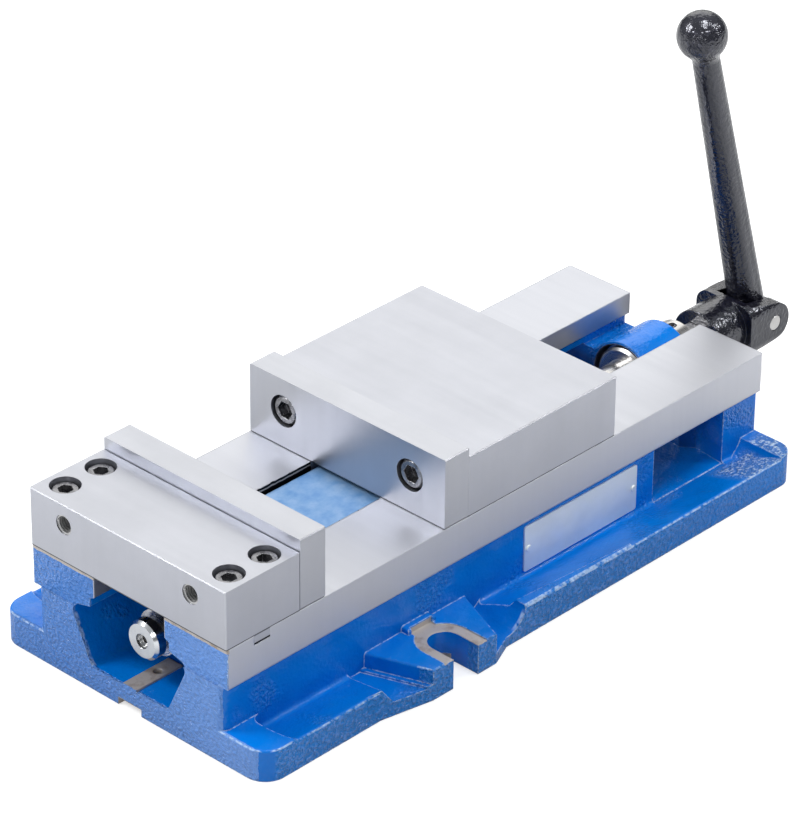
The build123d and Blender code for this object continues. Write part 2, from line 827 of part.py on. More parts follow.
# Nut: threaded block under the jaw, slanted boss, and the long cover that reaches forward
nut_half = guide_half - nut_play
block_x = station(nut_block_station)
with BuildPart() as nut:
    with BuildSketch(Plane.YZ.offset(block_x)) as nut_block:
        with BuildLine():
            Polyline(
                (0, nut_top),
                (nut_half, nut_top),
                (nut_half, nut_flange_top),
                (nut_flange_half, nut_flange_top),
                (nut_flange_half, nut_flange_bottom),
                (nut_half, nut_bottom),
                (0, nut_bottom),
            )
            mirror(about=Plane.YZ)
        make_face()
    extrude(amount=nut_block_length)
    with BuildSketch(Plane.YZ.offset(station(nut_extension_station))) as nut_cover:
        with BuildLine():
            Polyline(
                (0, nut_top),
                (nut_extension_half, nut_top),
                (nut_extension_half, nut_skirt_bottom),
                (nut_channel_half, nut_skirt_bottom),
                (nut_channel_half, nut_channel_top),
                (0, nut_channel_top),
            )
            mirror(about=Plane.YZ)
        make_face()
        for side in (-1, 1):
            top_corner = (side * nut_extension_half, nut_top)
            fillet(nut_cover.vertices().sort_by_distance(top_corner)[0], nut_corner)
            inner_corner = (side * nut_channel_half, nut_channel_top)
            fillet(nut_cover.vertices().sort_by_distance(inner_corner)[0], channel_corner)
    extrude(amount=block_x - station(nut_extension_station))
    # The boss overhangs forward, so that its face pulls the jaw down as well as along
    with BuildSketch(Plane.XZ.offset(boss_half)) as boss:
        with BuildLine():
            Polyline(
                (lock_line(0, nut_top - nut_corner), nut_top - nut_corner),
                (lock_line(0, boss_top), boss_top),
                (boss_rear_x, boss_top),
                (boss_rear_x, nut_top - nut_corner),
                close=True,
            )
        make_face()
    extrude(amount=-2 * boss_half)
    with BuildSketch(Plane.YZ.offset(block_x)) as nut_bore:
        with Locations((0, screw_height)):
            Circle(screw_radius + screw_nut_play)
    extrude(amount=nut_block_length, mode=Mode.SUBTRACT)
nut.part.label = "nut"
export_step(nut.part, "parts/nut.step")

# Half ball between the nut's slanted face and the jaw's seat
lock_normal = Vector(cos(radians(lock_angle)), 0, sin(radians(lock_angle)))
with BuildPart() as half_ball:
    with Locations((lock_x, 0, lock_height)):
        Sphere(ball_radius)
    flat_plane = Plane(origin=(lock_x, 0, lock_height), z_dir=lock_normal)
    split(bisect_by=flat_plane, keep=Keep.BOTTOM)
half_ball.part.label = "half_ball_segment"
export_step(half_ball.part, "parts/half_ball_segment.step")

# Set screw that keeps the jaw against the nut
with BuildPart() as jaw_set_screw:
    with BuildSketch(Plane.YZ.offset(boss_rear_x)) as set_body:
        with Locations((0, set_screw_height)):
            Circle(set_screw_radius - thread_play)
    extrude(amount=set_screw_length)
    with BuildSketch(Plane.YZ.offset(boss_rear_x + set_screw_length)) as set_hex:
        with Locations((0, set_screw_height)):
            RegularPolygon(set_screw_hex / 2, 6, major_radius=False)
    extrude(amount=-set_screw_hex, mode=Mode.SUBTRACT)
jaw_set_screw.part.label = "jaw_set_screw"
export_step(jaw_set_screw.part, "parts/jaw_set_screw.step")

# Bolts that hold the fixed jaw down
bolt_stem = fixed_jaw_top - bolt_recess - bolt_head_height - bed_height + bolt_reach
fixed_jaw_bolts = [
    socket_screw(
        Plane(origin=(bolt_x, bolt_y, fixed_jaw_top - bolt_recess)),
        bolt_thread,
        bolt_head,
        bolt_head_height,
        bolt_hex,
        bolt_stem,
    )
    for bolt_x, bolt_y in fixed_bolt_places
]
group(fixed_jaw_bolts, "fixed_jaw_bolts")


def plate_screws(face_x, outward, name):
    """The two socket head screws of a jaw plate, whose gripping face looks outward."""
    stem = plate_thickness - screw_recess - screw_head_height + screw_reach
    pair = [
        socket_screw(
            Plane(
                origin=(face_x - outward * screw_recess, screw_y, screw_z),
                x_dir=(0, 1, 0),
                z_dir=(outward, 0, 0),
            ),
            screw_thread,
            screw_head,
            screw_head_height,
            screw_hex,
            stem,
        )
        for screw_y, screw_z in plate_screw_places
    ]
    group(pair, name)


plate_screws(fixed_face_x, 1, "fixed_jaw_plate_screws")
plate_screws(movable_face_x, -1, "movable_jaw_plate_screws")

# Screw: thread, flange that bears on the thrust bearing, shank and drive hexagon
with BuildPart() as screw:
    with BuildSketch(Plane.XZ) as screw_profile:
        with BuildLine():
            Polyline(
                (station(front_collar_station) + screw_tip_recess, 0),
                (station(front_collar_station) + screw_tip_recess, screw_tip_radius),
                (station(screw_front_station), screw_tip_radius),
                (station(screw_front_station), screw_radius),
                (thread_end_x, screw_radius),
                (thread_end_x, screw_neck_radius),
                (front_race_x - screw_flange_length, screw_neck_radius),
                (front_race_x - screw_flange_length, screw_flange_radius - screw_flange_edge),
                (front_race_x - screw_flange_length + screw_flange_edge, screw_flange_radius),
                (front_race_x, screw_flange_radius),
                (front_race_x, screw_shank_radius),
                (rear_collar_end, screw_shank_radius),
                (rear_collar_end, 0),
                close=True,
            )
        make_face()
    revolve(axis=Axis.X)
    with BuildSketch(Plane.YZ.offset(rear_collar_end)) as drive:
        RegularPolygon(drive_hex / 2, 6, major_radius=False)
    extrude(amount=drive_length)
    chamfer(screw.faces().sort_by(Axis.X)[-1].edges(), jaw_edge)
    with BuildSketch(Plane.YZ.offset(station(front_collar_station) + screw_tip_recess)) as tip_key:
        RegularPolygon(screw_tip_hex / 2, 6, major_radius=False)
    extrude(amount=screw_tip_hex, mode=Mode.SUBTRACT)
screw.part.position += (0, 0, screw_height)
screw.part.label = "screw"
export_step(screw.part, "parts/screw.step")


def collar(start_x, length, radius, bore, edge, screw_size, tilt, name):
    """A shaft collar on the screw with a tapped hole, and its set screw."""
    top = Plane(
        origin=(start_x + length / 2, 0, screw_height),
        z_dir=(0, sin(radians(tilt)), cos(radians(tilt))),
    )
    with BuildPart() as ring:
        with BuildSketch(Plane.YZ.offset(start_x)) as ring_face:
            with Locations((0, screw_height)):
                Circle(radius)
                Circle(bore + running_play, mode=Mode.SUBTRACT)
        extrude(amount=length)
        rims = ring.edges().filter_by(GeomType.CIRCLE).sort_by(SortBy.RADIUS)[-2:]
        chamfer(rims, edge)
        with BuildSketch(top) as tapped:
            Circle(screw_size)
        extrude(amount=radius + over, mode=Mode.SUBTRACT)
    ring.part.label = name
    export_step(ring.part, "parts/" + name + ".step")
    with BuildPart() as grub:
        with BuildSketch(top.offset(bore + running_play)) as grub_body:
            Circle(screw_size - thread_play)
        extrude(amount=collar_screw_length)
        with BuildSketch(top.offset(bore + running_play + collar_screw_length)) as grub_hex:
            RegularPolygon(screw_size / 2, 6, major_radius=False)
        extrude(amount=-collar_screw_length / 2, mode=Mode.SUBTRACT)
    grub.part.label = name + "_screw"
    export_step(grub.part, "parts/" + name + "_screw.step")


collar(
    station(front_collar_station),
    front_collar_length,
    front_collar_radius,
    screw_tip_radius,
    front_collar_chamfer,
    front_collar_screw_radius,
    front_collar_screw_tilt,
    "front_collar",
)
collar(
    rear_collar_x,
    rear_collar_length,
    rear_collar_radius,
    screw_shank_radius,
    jaw_edge,
    rear_collar_screw_radius,
    0,
    "rear_collar",
)

# Thrust bearing: two races with a cage of needles between them
with BuildPart() as front_race:
    with BuildSketch(Plane.YZ.offset(front_race_x)) as front_race_face:
        with Locations((0, screw_height)):
            Circle(race_outer_radius)
            Circle(screw_shank_radius + running_play, mode=Mode.SUBTRACT)
    extrude(amount=race_thickness)
front_race.part.label = "thrust_race_front"
export_step(front_race.part, "parts/thrust_race_front.step")

with BuildPart() as rear_race:
    with BuildSketch(Plane.YZ.offset(rear_race_x)) as rear_race_face:
        with Locations((0, screw_height)):
            Circle(bearing_pocket_radius - running_play)
            Circle(screw_shank_radius + race_play, mode=Mode.SUBTRACT)
    extrude(amount=race_thickness)
rear_race.part.label = "thrust_race_rear"
export_step(rear_race.part, "parts/thrust_race_rear.step")

needle_centre = Vector(needle_x, 0, screw_height)
needle_plane = Plane(origin=needle_centre, x_dir=(0, 1, 0), z_dir=(1, 0, 0))
with BuildPart() as needle_cage:
    with BuildSketch(needle_plane.offset(-cage_thickness / 2)) as cage_face:
        Circle(cage_outer_radius)
        Circle(cage_inner_radius, mode=Mode.SUBTRACT)
        with PolarLocations(needle_ring_radius, needle_count):
            Rectangle(
                needle_length + 2 * cage_play,
                2 * (needle_radius + cage_play),
                mode=Mode.SUBTRACT,
            )
    extrude(amount=cage_thickness)
needle_cage.part.label = "needle_cage"
export_step(needle_cage.part, "parts/needle_cage.step")

needles = []
for turn in range(needle_count):
    around = radians(turn * 360 / needle_count)
    outwards = Vector(0, cos(around), sin(around))
    inner_end = needle_centre + outwards * (needle_ring_radius - needle_length / 2)
    with BuildPart() as needle:
        with BuildSketch(Plane(origin=inner_end, z_dir=outwards)) as needle_end:
            Circle(needle_radius)
        extrude(amount=needle_length)
    needles.append(needle.part)
group(needles, "needles")

# The fork tapers from the shoulder to a round end about the pin
with BuildPart() as fork:
    with BuildSketch(Plane.XZ.offset(fork_half)) as fork_side:
        with Locations((pin_x, screw_height)):
            Circle(fork_eye_radius)
        with Locations((fork_x - fork_slot_floor / 2, screw_height)):
            Rectangle(fork_slot_floor, 2 * shoulder_half - fork_root_step)
        make_hull()
    extrude(amount=-2 * fork_half)
    with BuildSketch(Plane.YZ.offset(shoulder_x)) as fork_section:
        with Locations((0, screw_height)):
            RectangleRounded(2 * fork_half, 2 * shoulder_half, shoulder_corner)
    extrude(amount=pin_x + fork_eye_radius - shoulder_x, mode=Mode.INTERSECT)

# Handle head: socket for the screw's hexagon, shoulder and fork
with BuildPart() as handle_head:
    with BuildSketch(Plane.YZ.offset(socket_x)) as barrel:
        with Locations((0, screw_height)):
            Circle(socket_radius)
    extrude(amount=socket_length + shoulder_length / 2)
    chamfer(handle_head.faces().sort_by(Axis.X)[0].edges(), jaw_edge)
    with BuildSketch(Plane.YZ.offset(shoulder_x)) as shoulder:
        with Locations((0, screw_height)):
            RectangleRounded(2 * fork_half, 2 * shoulder_half, shoulder_corner)
    extrude(amount=shoulder_length)
    fillet(handle_head.faces().filter_by(Plane.YZ).sort_by(Axis.X)[-1].edges(), shoulder_edge)
    add(fork.part)
    with BuildSketch(Plane.XZ.offset(fork_slot / 2)) as slot_side:
        with Locations(((fork_x + fork_slot_floor + pin_x + 2 * fork_eye_radius) / 2, screw_height)):
            Rectangle(pin_x + 2 * fork_eye_radius - fork_x - fork_slot_floor, 4 * fork_half)
    extrude(amount=-fork_slot, mode=Mode.SUBTRACT)
    with BuildSketch(Plane.XZ.offset(fork_half)) as pin_hole:
        with Locations((pin_x, screw_height)):
            Circle(pin_radius + pin_play)
    extrude(amount=-2 * fork_half, mode=Mode.SUBTRACT)
    with BuildSketch(Plane.YZ.offset(socket_x)) as drive_socket:
        with Locations((0, screw_height)):
            RegularPolygon(drive_hex / 2 + socket_play, 6, major_radius=False)
    extrude(amount=socket_depth, mode=Mode.SUBTRACT)
handle_head.part.label = "handle_head"
export_step(handle_head.part, "parts/handle_head.step")

# Pin through the fork
with BuildPart() as handle_pin:
    with BuildSketch(Plane.XZ.offset(fork_half)) as pin_end:
        with Locations((pin_x, screw_height)):
            Circle(pin_radius)
    extrude(amount=-2 * fork_half)
    chamfer(handle_pin.edges().filter_by(GeomType.CIRCLE), pin_edge)
handle_pin.part.label = "handle_pin"
export_step(handle_pin.part, "parts/handle_pin.step")

# Handle arm: eye, eight-sided bar that tapers to its neck, and the ball
lean = radians(arm_lean)
arm_direction = Vector(-sin(lean), 0, cos(lean))
arm_plane = Plane(origin=(pin_x, 0, screw_height), x_dir=(0, 1, 0), z_dir=arm_direction)
eye_width = fork_slot - 2 * arm_play

# The bar swells smoothly into the knob
knob_centre = Vector(pin_x, 0, screw_height) + arm_direction * arm_length
swell_plane = Plane(origin=knob_centre, x_dir=(cos(lean), 0, sin(lean)), z_dir=(0, -1, 0))
with BuildPart() as swell:
    with BuildSketch(swell_plane) as swell_profile:
        swell_out = arm_neck / 2 + neck_fillet
        swell_reach = knob_radius + neck_fillet
        swell_drop = sqrt(swell_reach**2 - swell_out**2)
        on_knob = knob_radius / swell_reach
        with BuildLine():
            swell_foot = (arm_neck / 2, -swell_drop)
            swell_top = (swell_out * on_knob, -swell_drop * on_knob)
            RadiusArc(swell_foot, swell_top, neck_fillet)
            Polyline(swell_top, (0, 0), (0, -swell_drop), swell_foot)
        make_face()
    revolve(axis=Axis(knob_centre, arm_direction))

with BuildPart() as handle_arm:
    with BuildSketch(Plane.XZ.offset(eye_width / 2)) as eye:
        with Locations((pin_x, screw_height)):
            Circle(arm_eye_radius)
    extrude(amount=-eye_width)
    with BuildSketch(arm_plane.offset(arm_root_start)) as root:
        RegularPolygon(eye_width / 2, arm_sides, major_radius=False, rotation=180 / arm_sides)
        fillet(root.vertices(), root_corner_share * eye_width / 2)
    with BuildSketch(arm_plane.offset(arm_length - knob_radius / 2)) as neck:
        RegularPolygon(arm_neck / 2, arm_sides, major_radius=False, rotation=180 / arm_sides)
        fillet(neck.vertices(), neck_corner_share * arm_neck / 2)
    loft()
    add(swell.part)
    with Locations(arm_plane.offset(arm_length)):
        Sphere(knob_radius)
    with BuildSketch(Plane.XZ.offset(eye_width / 2)) as eye_hole:
        with Locations((pin_x, screw_height)):
            Circle(pin_radius + running_play)
    extrude(amount=-eye_width, mode=Mode.SUBTRACT)
handle_arm.part.label = "handle_arm"
export_step(handle_arm.part, "parts/handle_arm.step")

# Nameplate on the near wall, with its two rivets
with BuildPart() as nameplate:
    with BuildSketch(Plane.XZ.offset(wall_half)) as plate_outline:
        with Locations((station(nameplate_station), nameplate_centre)):
            RectangleRounded(nameplate_length, nameplate_height, nameplate_corner)
        with Locations(*rivet_places):
            Circle(rivet_radius + thread_play, mode=Mode.SUBTRACT)
    extrude(amount=nameplate_thickness)
nameplate.part.label = "nameplate"
export_step(nameplate.part, "parts/nameplate.step")

rivets = []
for rivet_x, rivet_z in rivet_places:
    with BuildPart() as rivet:
        head_face = Plane.XZ.offset(wall_half + nameplate_thickness)
        with BuildSketch(head_face) as rivet_head:
            with Locations((rivet_x, rivet_z)):
                Circle(rivet_head_radius)
        extrude(amount=rivet_head_height)
        fillet(rivet.faces().sort_by(Axis.Y)[0].edges(), rivet_head_height * rivet_dome_share)
        with BuildSketch(head_face) as rivet_stem:
            with Locations((rivet_x, rivet_z)):
                Circle(rivet_radius)
        extrude(amount=-rivet_length)
    rivets.append(rivet.part)
group(rivets, "nameplate_rivets")
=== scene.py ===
# %% [markdown]
# An angle lock machine vise, dressed for its picture.
# The CAD model already holds every piece at its real size. This script leaves those pieces
# where they are and gives them their finish: gloss paint on a rough casting, ground steel,
# blackened screws, turned steel and a black handle. It adds only what is too fine for CAD,
# the threads of two tapped holes, and then a camera, a floor and lamps.

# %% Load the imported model
import math

import bpy
from mathutils import Matrix, Vector


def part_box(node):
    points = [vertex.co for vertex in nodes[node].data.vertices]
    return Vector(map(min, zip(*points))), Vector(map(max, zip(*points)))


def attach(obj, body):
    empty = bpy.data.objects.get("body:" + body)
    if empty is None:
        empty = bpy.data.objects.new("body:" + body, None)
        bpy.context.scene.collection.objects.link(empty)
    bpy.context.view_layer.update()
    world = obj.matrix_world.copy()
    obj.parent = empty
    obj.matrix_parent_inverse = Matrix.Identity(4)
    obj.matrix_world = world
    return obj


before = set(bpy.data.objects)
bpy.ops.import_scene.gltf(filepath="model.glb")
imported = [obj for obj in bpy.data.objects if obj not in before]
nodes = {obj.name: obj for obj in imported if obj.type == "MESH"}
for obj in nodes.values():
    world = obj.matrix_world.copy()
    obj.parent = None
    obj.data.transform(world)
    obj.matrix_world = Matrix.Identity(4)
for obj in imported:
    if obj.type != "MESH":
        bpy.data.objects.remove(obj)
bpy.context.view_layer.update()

millimetre = 0.001

# %% [markdown]
# The camera. A wide lens close by would make the near end look large. A long lens far away
# keeps the edges nearly parallel, as in a catalogue picture. Its three axes are worked out
# from the azimuth and elevation, and the roll turns it a little about its line of sight.

# %% Camera
camera_place = Vector((-1.6652, -1.5666, 1.4587))
camera_azimuth = math.radians(-46.602)
camera_elevation = math.radians(30.745)
camera_roll = math.radians(0.543)
camera_lens = 207.9

backward = Vector((
    math.sin(camera_azimuth) * math.cos(camera_elevation),
    -math.cos(camera_azimuth) * math.cos(camera_elevation),
    math.sin(camera_elevation),
))
rightward = Vector((0, 0, 1)).cross(backward).normalized()
upward = backward.cross(rightward)
turn = Matrix((rightward, upward, backward)).transposed() @ Matrix.Rotation(camera_roll, 3, "Z")

camera_data = bpy.data.cameras.new("camera")
camera_data.sensor_width = 36
camera_data.lens = camera_lens
camera_data.clip_start = 0.05
camera_data.clip_end = 50
camera = bpy.data.objects.new("camera", camera_data)
camera.matrix_world = Matrix.Translation(camera_place) @ turn.to_4x4()
bpy.context.scene.collection.objects.link(camera)
bpy.context.scene.camera = camera
bpy.context.scene.view_settings.view_transform = "Standard"
print("camera at", tuple(camera_place), "with a lens of", camera_lens)

# %% [markdown]
# Short ways to build shader trees. A node tree is easier to read when each node is made,
# set and joined in one call, so this small class does that. Sizes in the trees are metres,
# because the pieces' own coordinates are, and a noise's scale is in clouds to a metre.

# %% Helpers for shader trees


class Wires:
    """Adds nodes to one tree and joins their sockets."""

    def __init__(self, tree):
        self.tree = tree

    def feed(self, socket, value):
        """Joins an output to the socket, or sets the socket's own value."""
        if isinstance(value, bpy.types.NodeSocket):
            self.tree.links.new(value, socket)
        else:
            socket.default_value = value

    def node(self, kind, inputs=None, **settings):
        """A node of that kind with its settings and inputs."""
        made = self.tree.nodes.new(kind)
        for name, value in settings.items():
            setattr(made, name, value)
        for name, value in (inputs or {}).items():
            self.feed(made.inputs[name], value)
        return made

    def math(self, operation, *values):
        """One Math node."""
        made = self.node("ShaderNodeMath", operation=operation)
        for socket, value in zip(made.inputs, values):
            self.feed(socket, value)
        return made.outputs[0]

    def most(self, first, *others):
        """The largest of several values."""
        for other in others:
            first = self.math("MAXIMUM", first, other)
        return first

    def product(self, first, *others):
        """Several values multiplied."""
        for other in others:
            first = self.math("MULTIPLY", first, other)
        return first

    def vector(self, operation, *values, output=0):
        """One Vector Math node."""
        made = self.node("ShaderNodeVectorMath", operation=operation)
        for socket, value in zip(made.inputs, values):
            self.feed(socket, value)
        return made.outputs[output]

    def parts(self, vector):
        """The X, Y and Z of a vector."""
        return self.node("ShaderNodeSeparateXYZ", {"Vector": vector}).outputs

    def join(self, x=0.0, y=0.0, z=0.0):
        """A vector from three values."""
        return self.node("ShaderNodeCombineXYZ", {"X": x, "Y": y, "Z": z}).outputs["Vector"]

    def place(self):
        """The shaded point in the piece's own coordinates."""
        return self.node("ShaderNodeTexCoord").outputs["Object"]

    def spread(self, value, low, high, to_low=0.0, to_high=1.0, smooth=False):
        """Maps a range of values to another, and clamps it."""
        made = self.node(
            "ShaderNodeMapRange",
            {"Value": value, "From Min": low, "From Max": high,
             "To Min": to_low, "To Max": to_high},
            interpolation_type="SMOOTHSTEP" if smooth else "LINEAR",
        )
        return made.outputs["Result"]

    def noise(self, place, scale, detail=2.0, roughness=0.5):
        """Cloudy values about one half."""
        made = self.node(
            "ShaderNodeTexNoise",
            {"Vector": place, "Scale": scale, "Detail": detail, "Roughness": roughness},
        )
        return made.outputs["Fac"]

    def mix(self, kind, share, first, second):
        """Something between two others, of the kind FLOAT, VECTOR or RGBA."""
        made = self.node("ShaderNodeMix", data_type=kind)
        for name, value in (("Factor", share), ("A", first), ("B", second)):
            self.feed(made.inputs[name], value)
        return made.outputs["Result"]

    def blend(self, share, first, second):
        """A colour between two others."""
        return self.mix("RGBA", share, first, second)

    def between(self, share, first, second):
        """A value between two others."""
        return self.mix("FLOAT", share, first, second)

    def bump(self, height, distance, strength, normal):
        """The normal of a surface with small heights on it."""
        made = self.node(
            "ShaderNodeBump",
            {"Height": height, "Distance": distance, "Strength": strength, "Normal": normal},
        )
        return made.outputs["Normal"]

    def group(self, tree, **inputs):
        """A node group placed in this tree with its own values."""
        made = self.node("ShaderNodeGroup", node_tree=tree)
        for name, value in inputs.items():
            self.feed(made.inputs[name.capitalize()], value)
        return made.outputs


print("wires ready")

# %% [markdown]
# Groups and materials are made often, so each kind gets one short call. A finish is put on a
# node's slot and not into its mesh, because the meshes come from CAD and stay as they are.

# %% Helpers for groups, materials and colours


def new_group(name, inputs, outputs):
    """An empty node group with named sockets. Gives its wires, what comes in and where to send."""
    tree = bpy.data.node_groups.new(name, "ShaderNodeTree")
    new_socket = tree.interface.new_socket
    for label, kind, value in inputs:
        socket = new_socket(name=label, in_out="INPUT", socket_type="NodeSocket" + kind)
        socket.default_value = value
    for label, kind in outputs:
        new_socket(name=label, in_out="OUTPUT", socket_type="NodeSocket" + kind)
    wires = Wires(tree)
    incoming = wires.node("NodeGroupInput").outputs
    outgoing = wires.node("NodeGroupOutput").inputs
    return tree, wires, incoming, outgoing


def new_material(name):
    """A material with one Principled shader. Gives its wires and the shader's inputs."""
    material = bpy.data.materials.new(name)
    material.use_nodes = True
    wires = Wires(material.node_tree)
    shader = material.node_tree.nodes["Principled BSDF"].inputs
    return material, wires, shader


def grey(value):
    """A neutral colour."""
    return (value, value, value, 1.0)


def toned(colour, share):
    """The colour, darker or lighter."""
    return tuple(share * part for part in colour[:3]) + (1.0,)


def wear_finish(material, *names):
    """Puts the material on CAD nodes, whose meshes stay as they are."""
    for name in names:
        for slot in nodes[name].material_slots:
            slot.link = "OBJECT"
            slot.material = material


print("shader helpers ready")

# %% [markdown]
# Cast iron keeps the skin of the sand it was poured in. Under thick paint that skin turns into
# soft pebbles a millimetre or so across, strong in some patches and nearly gone in others. Real
# pebbles in the mesh would take millions of faces, so a Bump node shades them. The group gives its
# height: pebbles times patches, and a slow waviness. It also gives the pebbles' peaks, where the
# bed and the handle get a painted glint.

# %% Group: cast skin
patch_scale = 24.0
patch_strength = 0.7
wave_scale = 60.0
wave_height = 0.35

cast_skin, w, given, result = new_group(
    "cast_skin",
    [("Grain", "Float", 800.0), ("Coarseness", "Float", 0.0), ("Calm", "Float", 0.06)],
    [("Height", "Float"), ("Peaks", "Float")],
)
place = w.place()
pebbles = w.noise(place, given["Grain"])
patches = w.spread(w.noise(place, patch_scale), 0.55, 0.68, smooth=True)
strength = w.most(w.between(patches, given["Calm"], patch_strength), given["Coarseness"])
pebble_height = w.product(w.math("SUBTRACT", pebbles, 0.5), strength)
waves = w.noise(place, wave_scale, detail=1.0)
w.feed(result["Height"], w.math("MULTIPLY_ADD", waves, wave_height, pebble_height))
w.feed(result["Peaks"], w.product(w.spread(pebbles, 0.5, 0.66), w.spread(strength, 0.2, 0.7)))
print("group", cast_skin.name)

# %% [markdown]
# A surface grinder leaves fine straight lines. On the sides of the jaws they stand upright and
# on the top they run across. A brushed picture wrapped on the faces would show its seams, so
# the lines are a stretched noise: its coordinate runs fast across the lines and slowly along
# them, and the face's normal says which way is across. A second, wider noise makes streaks.

# %% Group: grinding lines
streak_fineness = 160.0
streak_length = 6.0

grinding_lines, w, given, result = new_group(
    "grinding_lines",
    [("Fineness", "Float", 1800.0), ("Length", "Float", 30.0)],
    [("Height", "Float"), ("Streaks", "Float")],
)
point = w.parts(w.place())
facing = w.vector("ABSOLUTE", w.node("ShaderNodeNewGeometry").outputs["True Normal"])
face = w.parts(facing)
is_end = w.math("GREATER_THAN", face["X"], 0.7)
is_top = w.math("GREATER_THAN", face["Z"], 0.7)
across = w.between(is_end, point["X"], point["Y"])
along = w.between(is_top, point["Z"], point["Y"])
stretched = w.join(w.product(across, given["Fineness"]), w.product(along, given["Length"]))
wide = w.join(w.product(across, streak_fineness), w.product(along, streak_length))
w.feed(result["Height"], w.noise(stretched, 1.0, detail=3.0, roughness=0.6))
w.feed(result["Streaks"], w.spread(w.noise(wide, 1.0, detail=4.0, roughness=0.65), 0.3, 0.7))
print("group", grinding_lines.name)

# %% [markdown]
# A lathe leaves rings. Everything that was turned here shares the screw's axis, so the rings
# follow the distance from that axis, and the distance along it on a cylinder. The sum of the
# two serves both, because one of them stands still on each kind of face.

# %% Group: turning rings
race_low, race_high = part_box("thrust_race_front")
axis_height = (race_low.z + race_high.z) / 2

turning_rings, w, given, result = new_group(
    "turning_rings",
    [("Fineness", "Float", 1500.0)],
    [("Height", "Float"), ("Streaks", "Float")],
)
place = w.place()
from_axis = w.vector("MULTIPLY", w.vector("SUBTRACT", place, (0, 0, axis_height)), (0, 1, 1))
radius = w.vector("LENGTH", from_axis, output="Value")
ring_place = w.product(w.math("ADD", radius, w.parts(place)["X"]), given["Fineness"])
rings = w.noise(w.join(ring_place), 1.0, detail=3.0, roughness=0.6)
w.feed(result["Height"], rings)
w.feed(result["Streaks"], w.spread(rings, 0.35, 0.65))
print("group", turning_rings.name, "about the axis at height", round(axis_height, 4))

# %% [markdown]
# No real edge is perfectly sharp. Rounding every edge in the mesh would change the CAD pieces, so
# the Bevel node bends the normal near an edge, and a thin line of light runs along it. Where that
# bent normal departs from the face's own one, there is an edge, and that gives a mask for bright
# worn metal and for painted highlights along edges.

# %% Group: soft edges
soft_edges, w, given, result = new_group(
    "soft_edges",
    [("Radius", "Float", 0.0004)],
    [("Normal", "Vector"), ("Edge", "Float")],
)
bent = w.node("ShaderNodeBevel", {"Radius": given["Radius"]}, samples=6).outputs["Normal"]
own = w.node("ShaderNodeNewGeometry").outputs["Normal"]
likeness = w.vector("DOT_PRODUCT", bent, own, output="Value")
w.feed(result["Normal"], bent)
w.feed(result["Edge"], w.spread(likeness, 0.985, 0.9))
print("group", soft_edges.name)

# %% [markdown]
# Oil, handling and dust change the shine of metal and paint in soft clouds. One group gives
# these clouds to every finish, each with its own size.

# %% Group: handling clouds
handling_clouds, w, given, result = new_group(
    "handling_clouds", [("Size", "Float", 25.0)], [("Clouds", "Float")]
)
clouds = w.noise(w.place(), given["Size"], detail=5.0, roughness=0.6)
w.feed(result["Clouds"], w.spread(clouds, 0.35, 0.65))
print("group", handling_clouds.name)

# %% [markdown]
# Which faces of the bed are machined after painting? A box in space says it best: where a point
# lies inside the box, the metal is bare. The group tests one box and is placed once for each.

# %% Group: inside a box
border = 0.08 * millimetre

inside_box, w, given, result = new_group(
    "inside_box",
    [("Position", "Vector", (0, 0, 0)),
     ("Low", "Vector", (0, 0, 0)),
     ("High", "Vector", (1, 1, 1))],
    [("Mask", "Float")],
)
above = w.vector("SUBTRACT", given["Position"], given["Low"])
below = w.vector("SUBTRACT", given["High"], given["Position"])
nearest = w.parts(w.vector("MINIMUM", above, below))
least = w.math("MINIMUM", w.math("MINIMUM", nearest["X"], nearest["Y"]), nearest["Z"])
w.feed(result["Mask"], w.spread(least, 0.0, border))
print("group", inside_box.name)

# %% [markdown]
# The bed. One casting carries gloss blue paint and bare machined faces, with no gap between
# them. Two materials would need the mesh cut along every border, so one material holds both
# and a mask chooses. The sizes come from the CAD boxes where those say them.

# %% Sizes of the bed
bed_low, bed_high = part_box("bed")
plate_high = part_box("fixed_jaw_plate")[1]
front, rear = bed_low.x, bed_high.x
rail_top = bed_high.z
rail_side = plate_high.y
rail_bottom = rail_top - 25.5 * millimetre
guide_side = 27.6 * millimetre
guide_bottom = rail_top - 14 * millimetre
wall_side = 73 * millimetre
flange_side = 105 * millimetre
ear_place = front + 149 * millimetre
ear_reach = bed_high.y
pocket_radius = 22.6 * millimetre
web_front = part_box("thrust_race_rear")[1].x - 15.2 * millimetre
print("bed from", round(front, 4), "to", round(rear, 4), "with its rails at", round(rail_top, 4))

# %% [markdown]
# The boxes are the paths of the cutters that machined the bed, each given by its lowest and
# its highest corner. The bed is the same on both sides, so they are given for one side and
# the other is folded onto it.

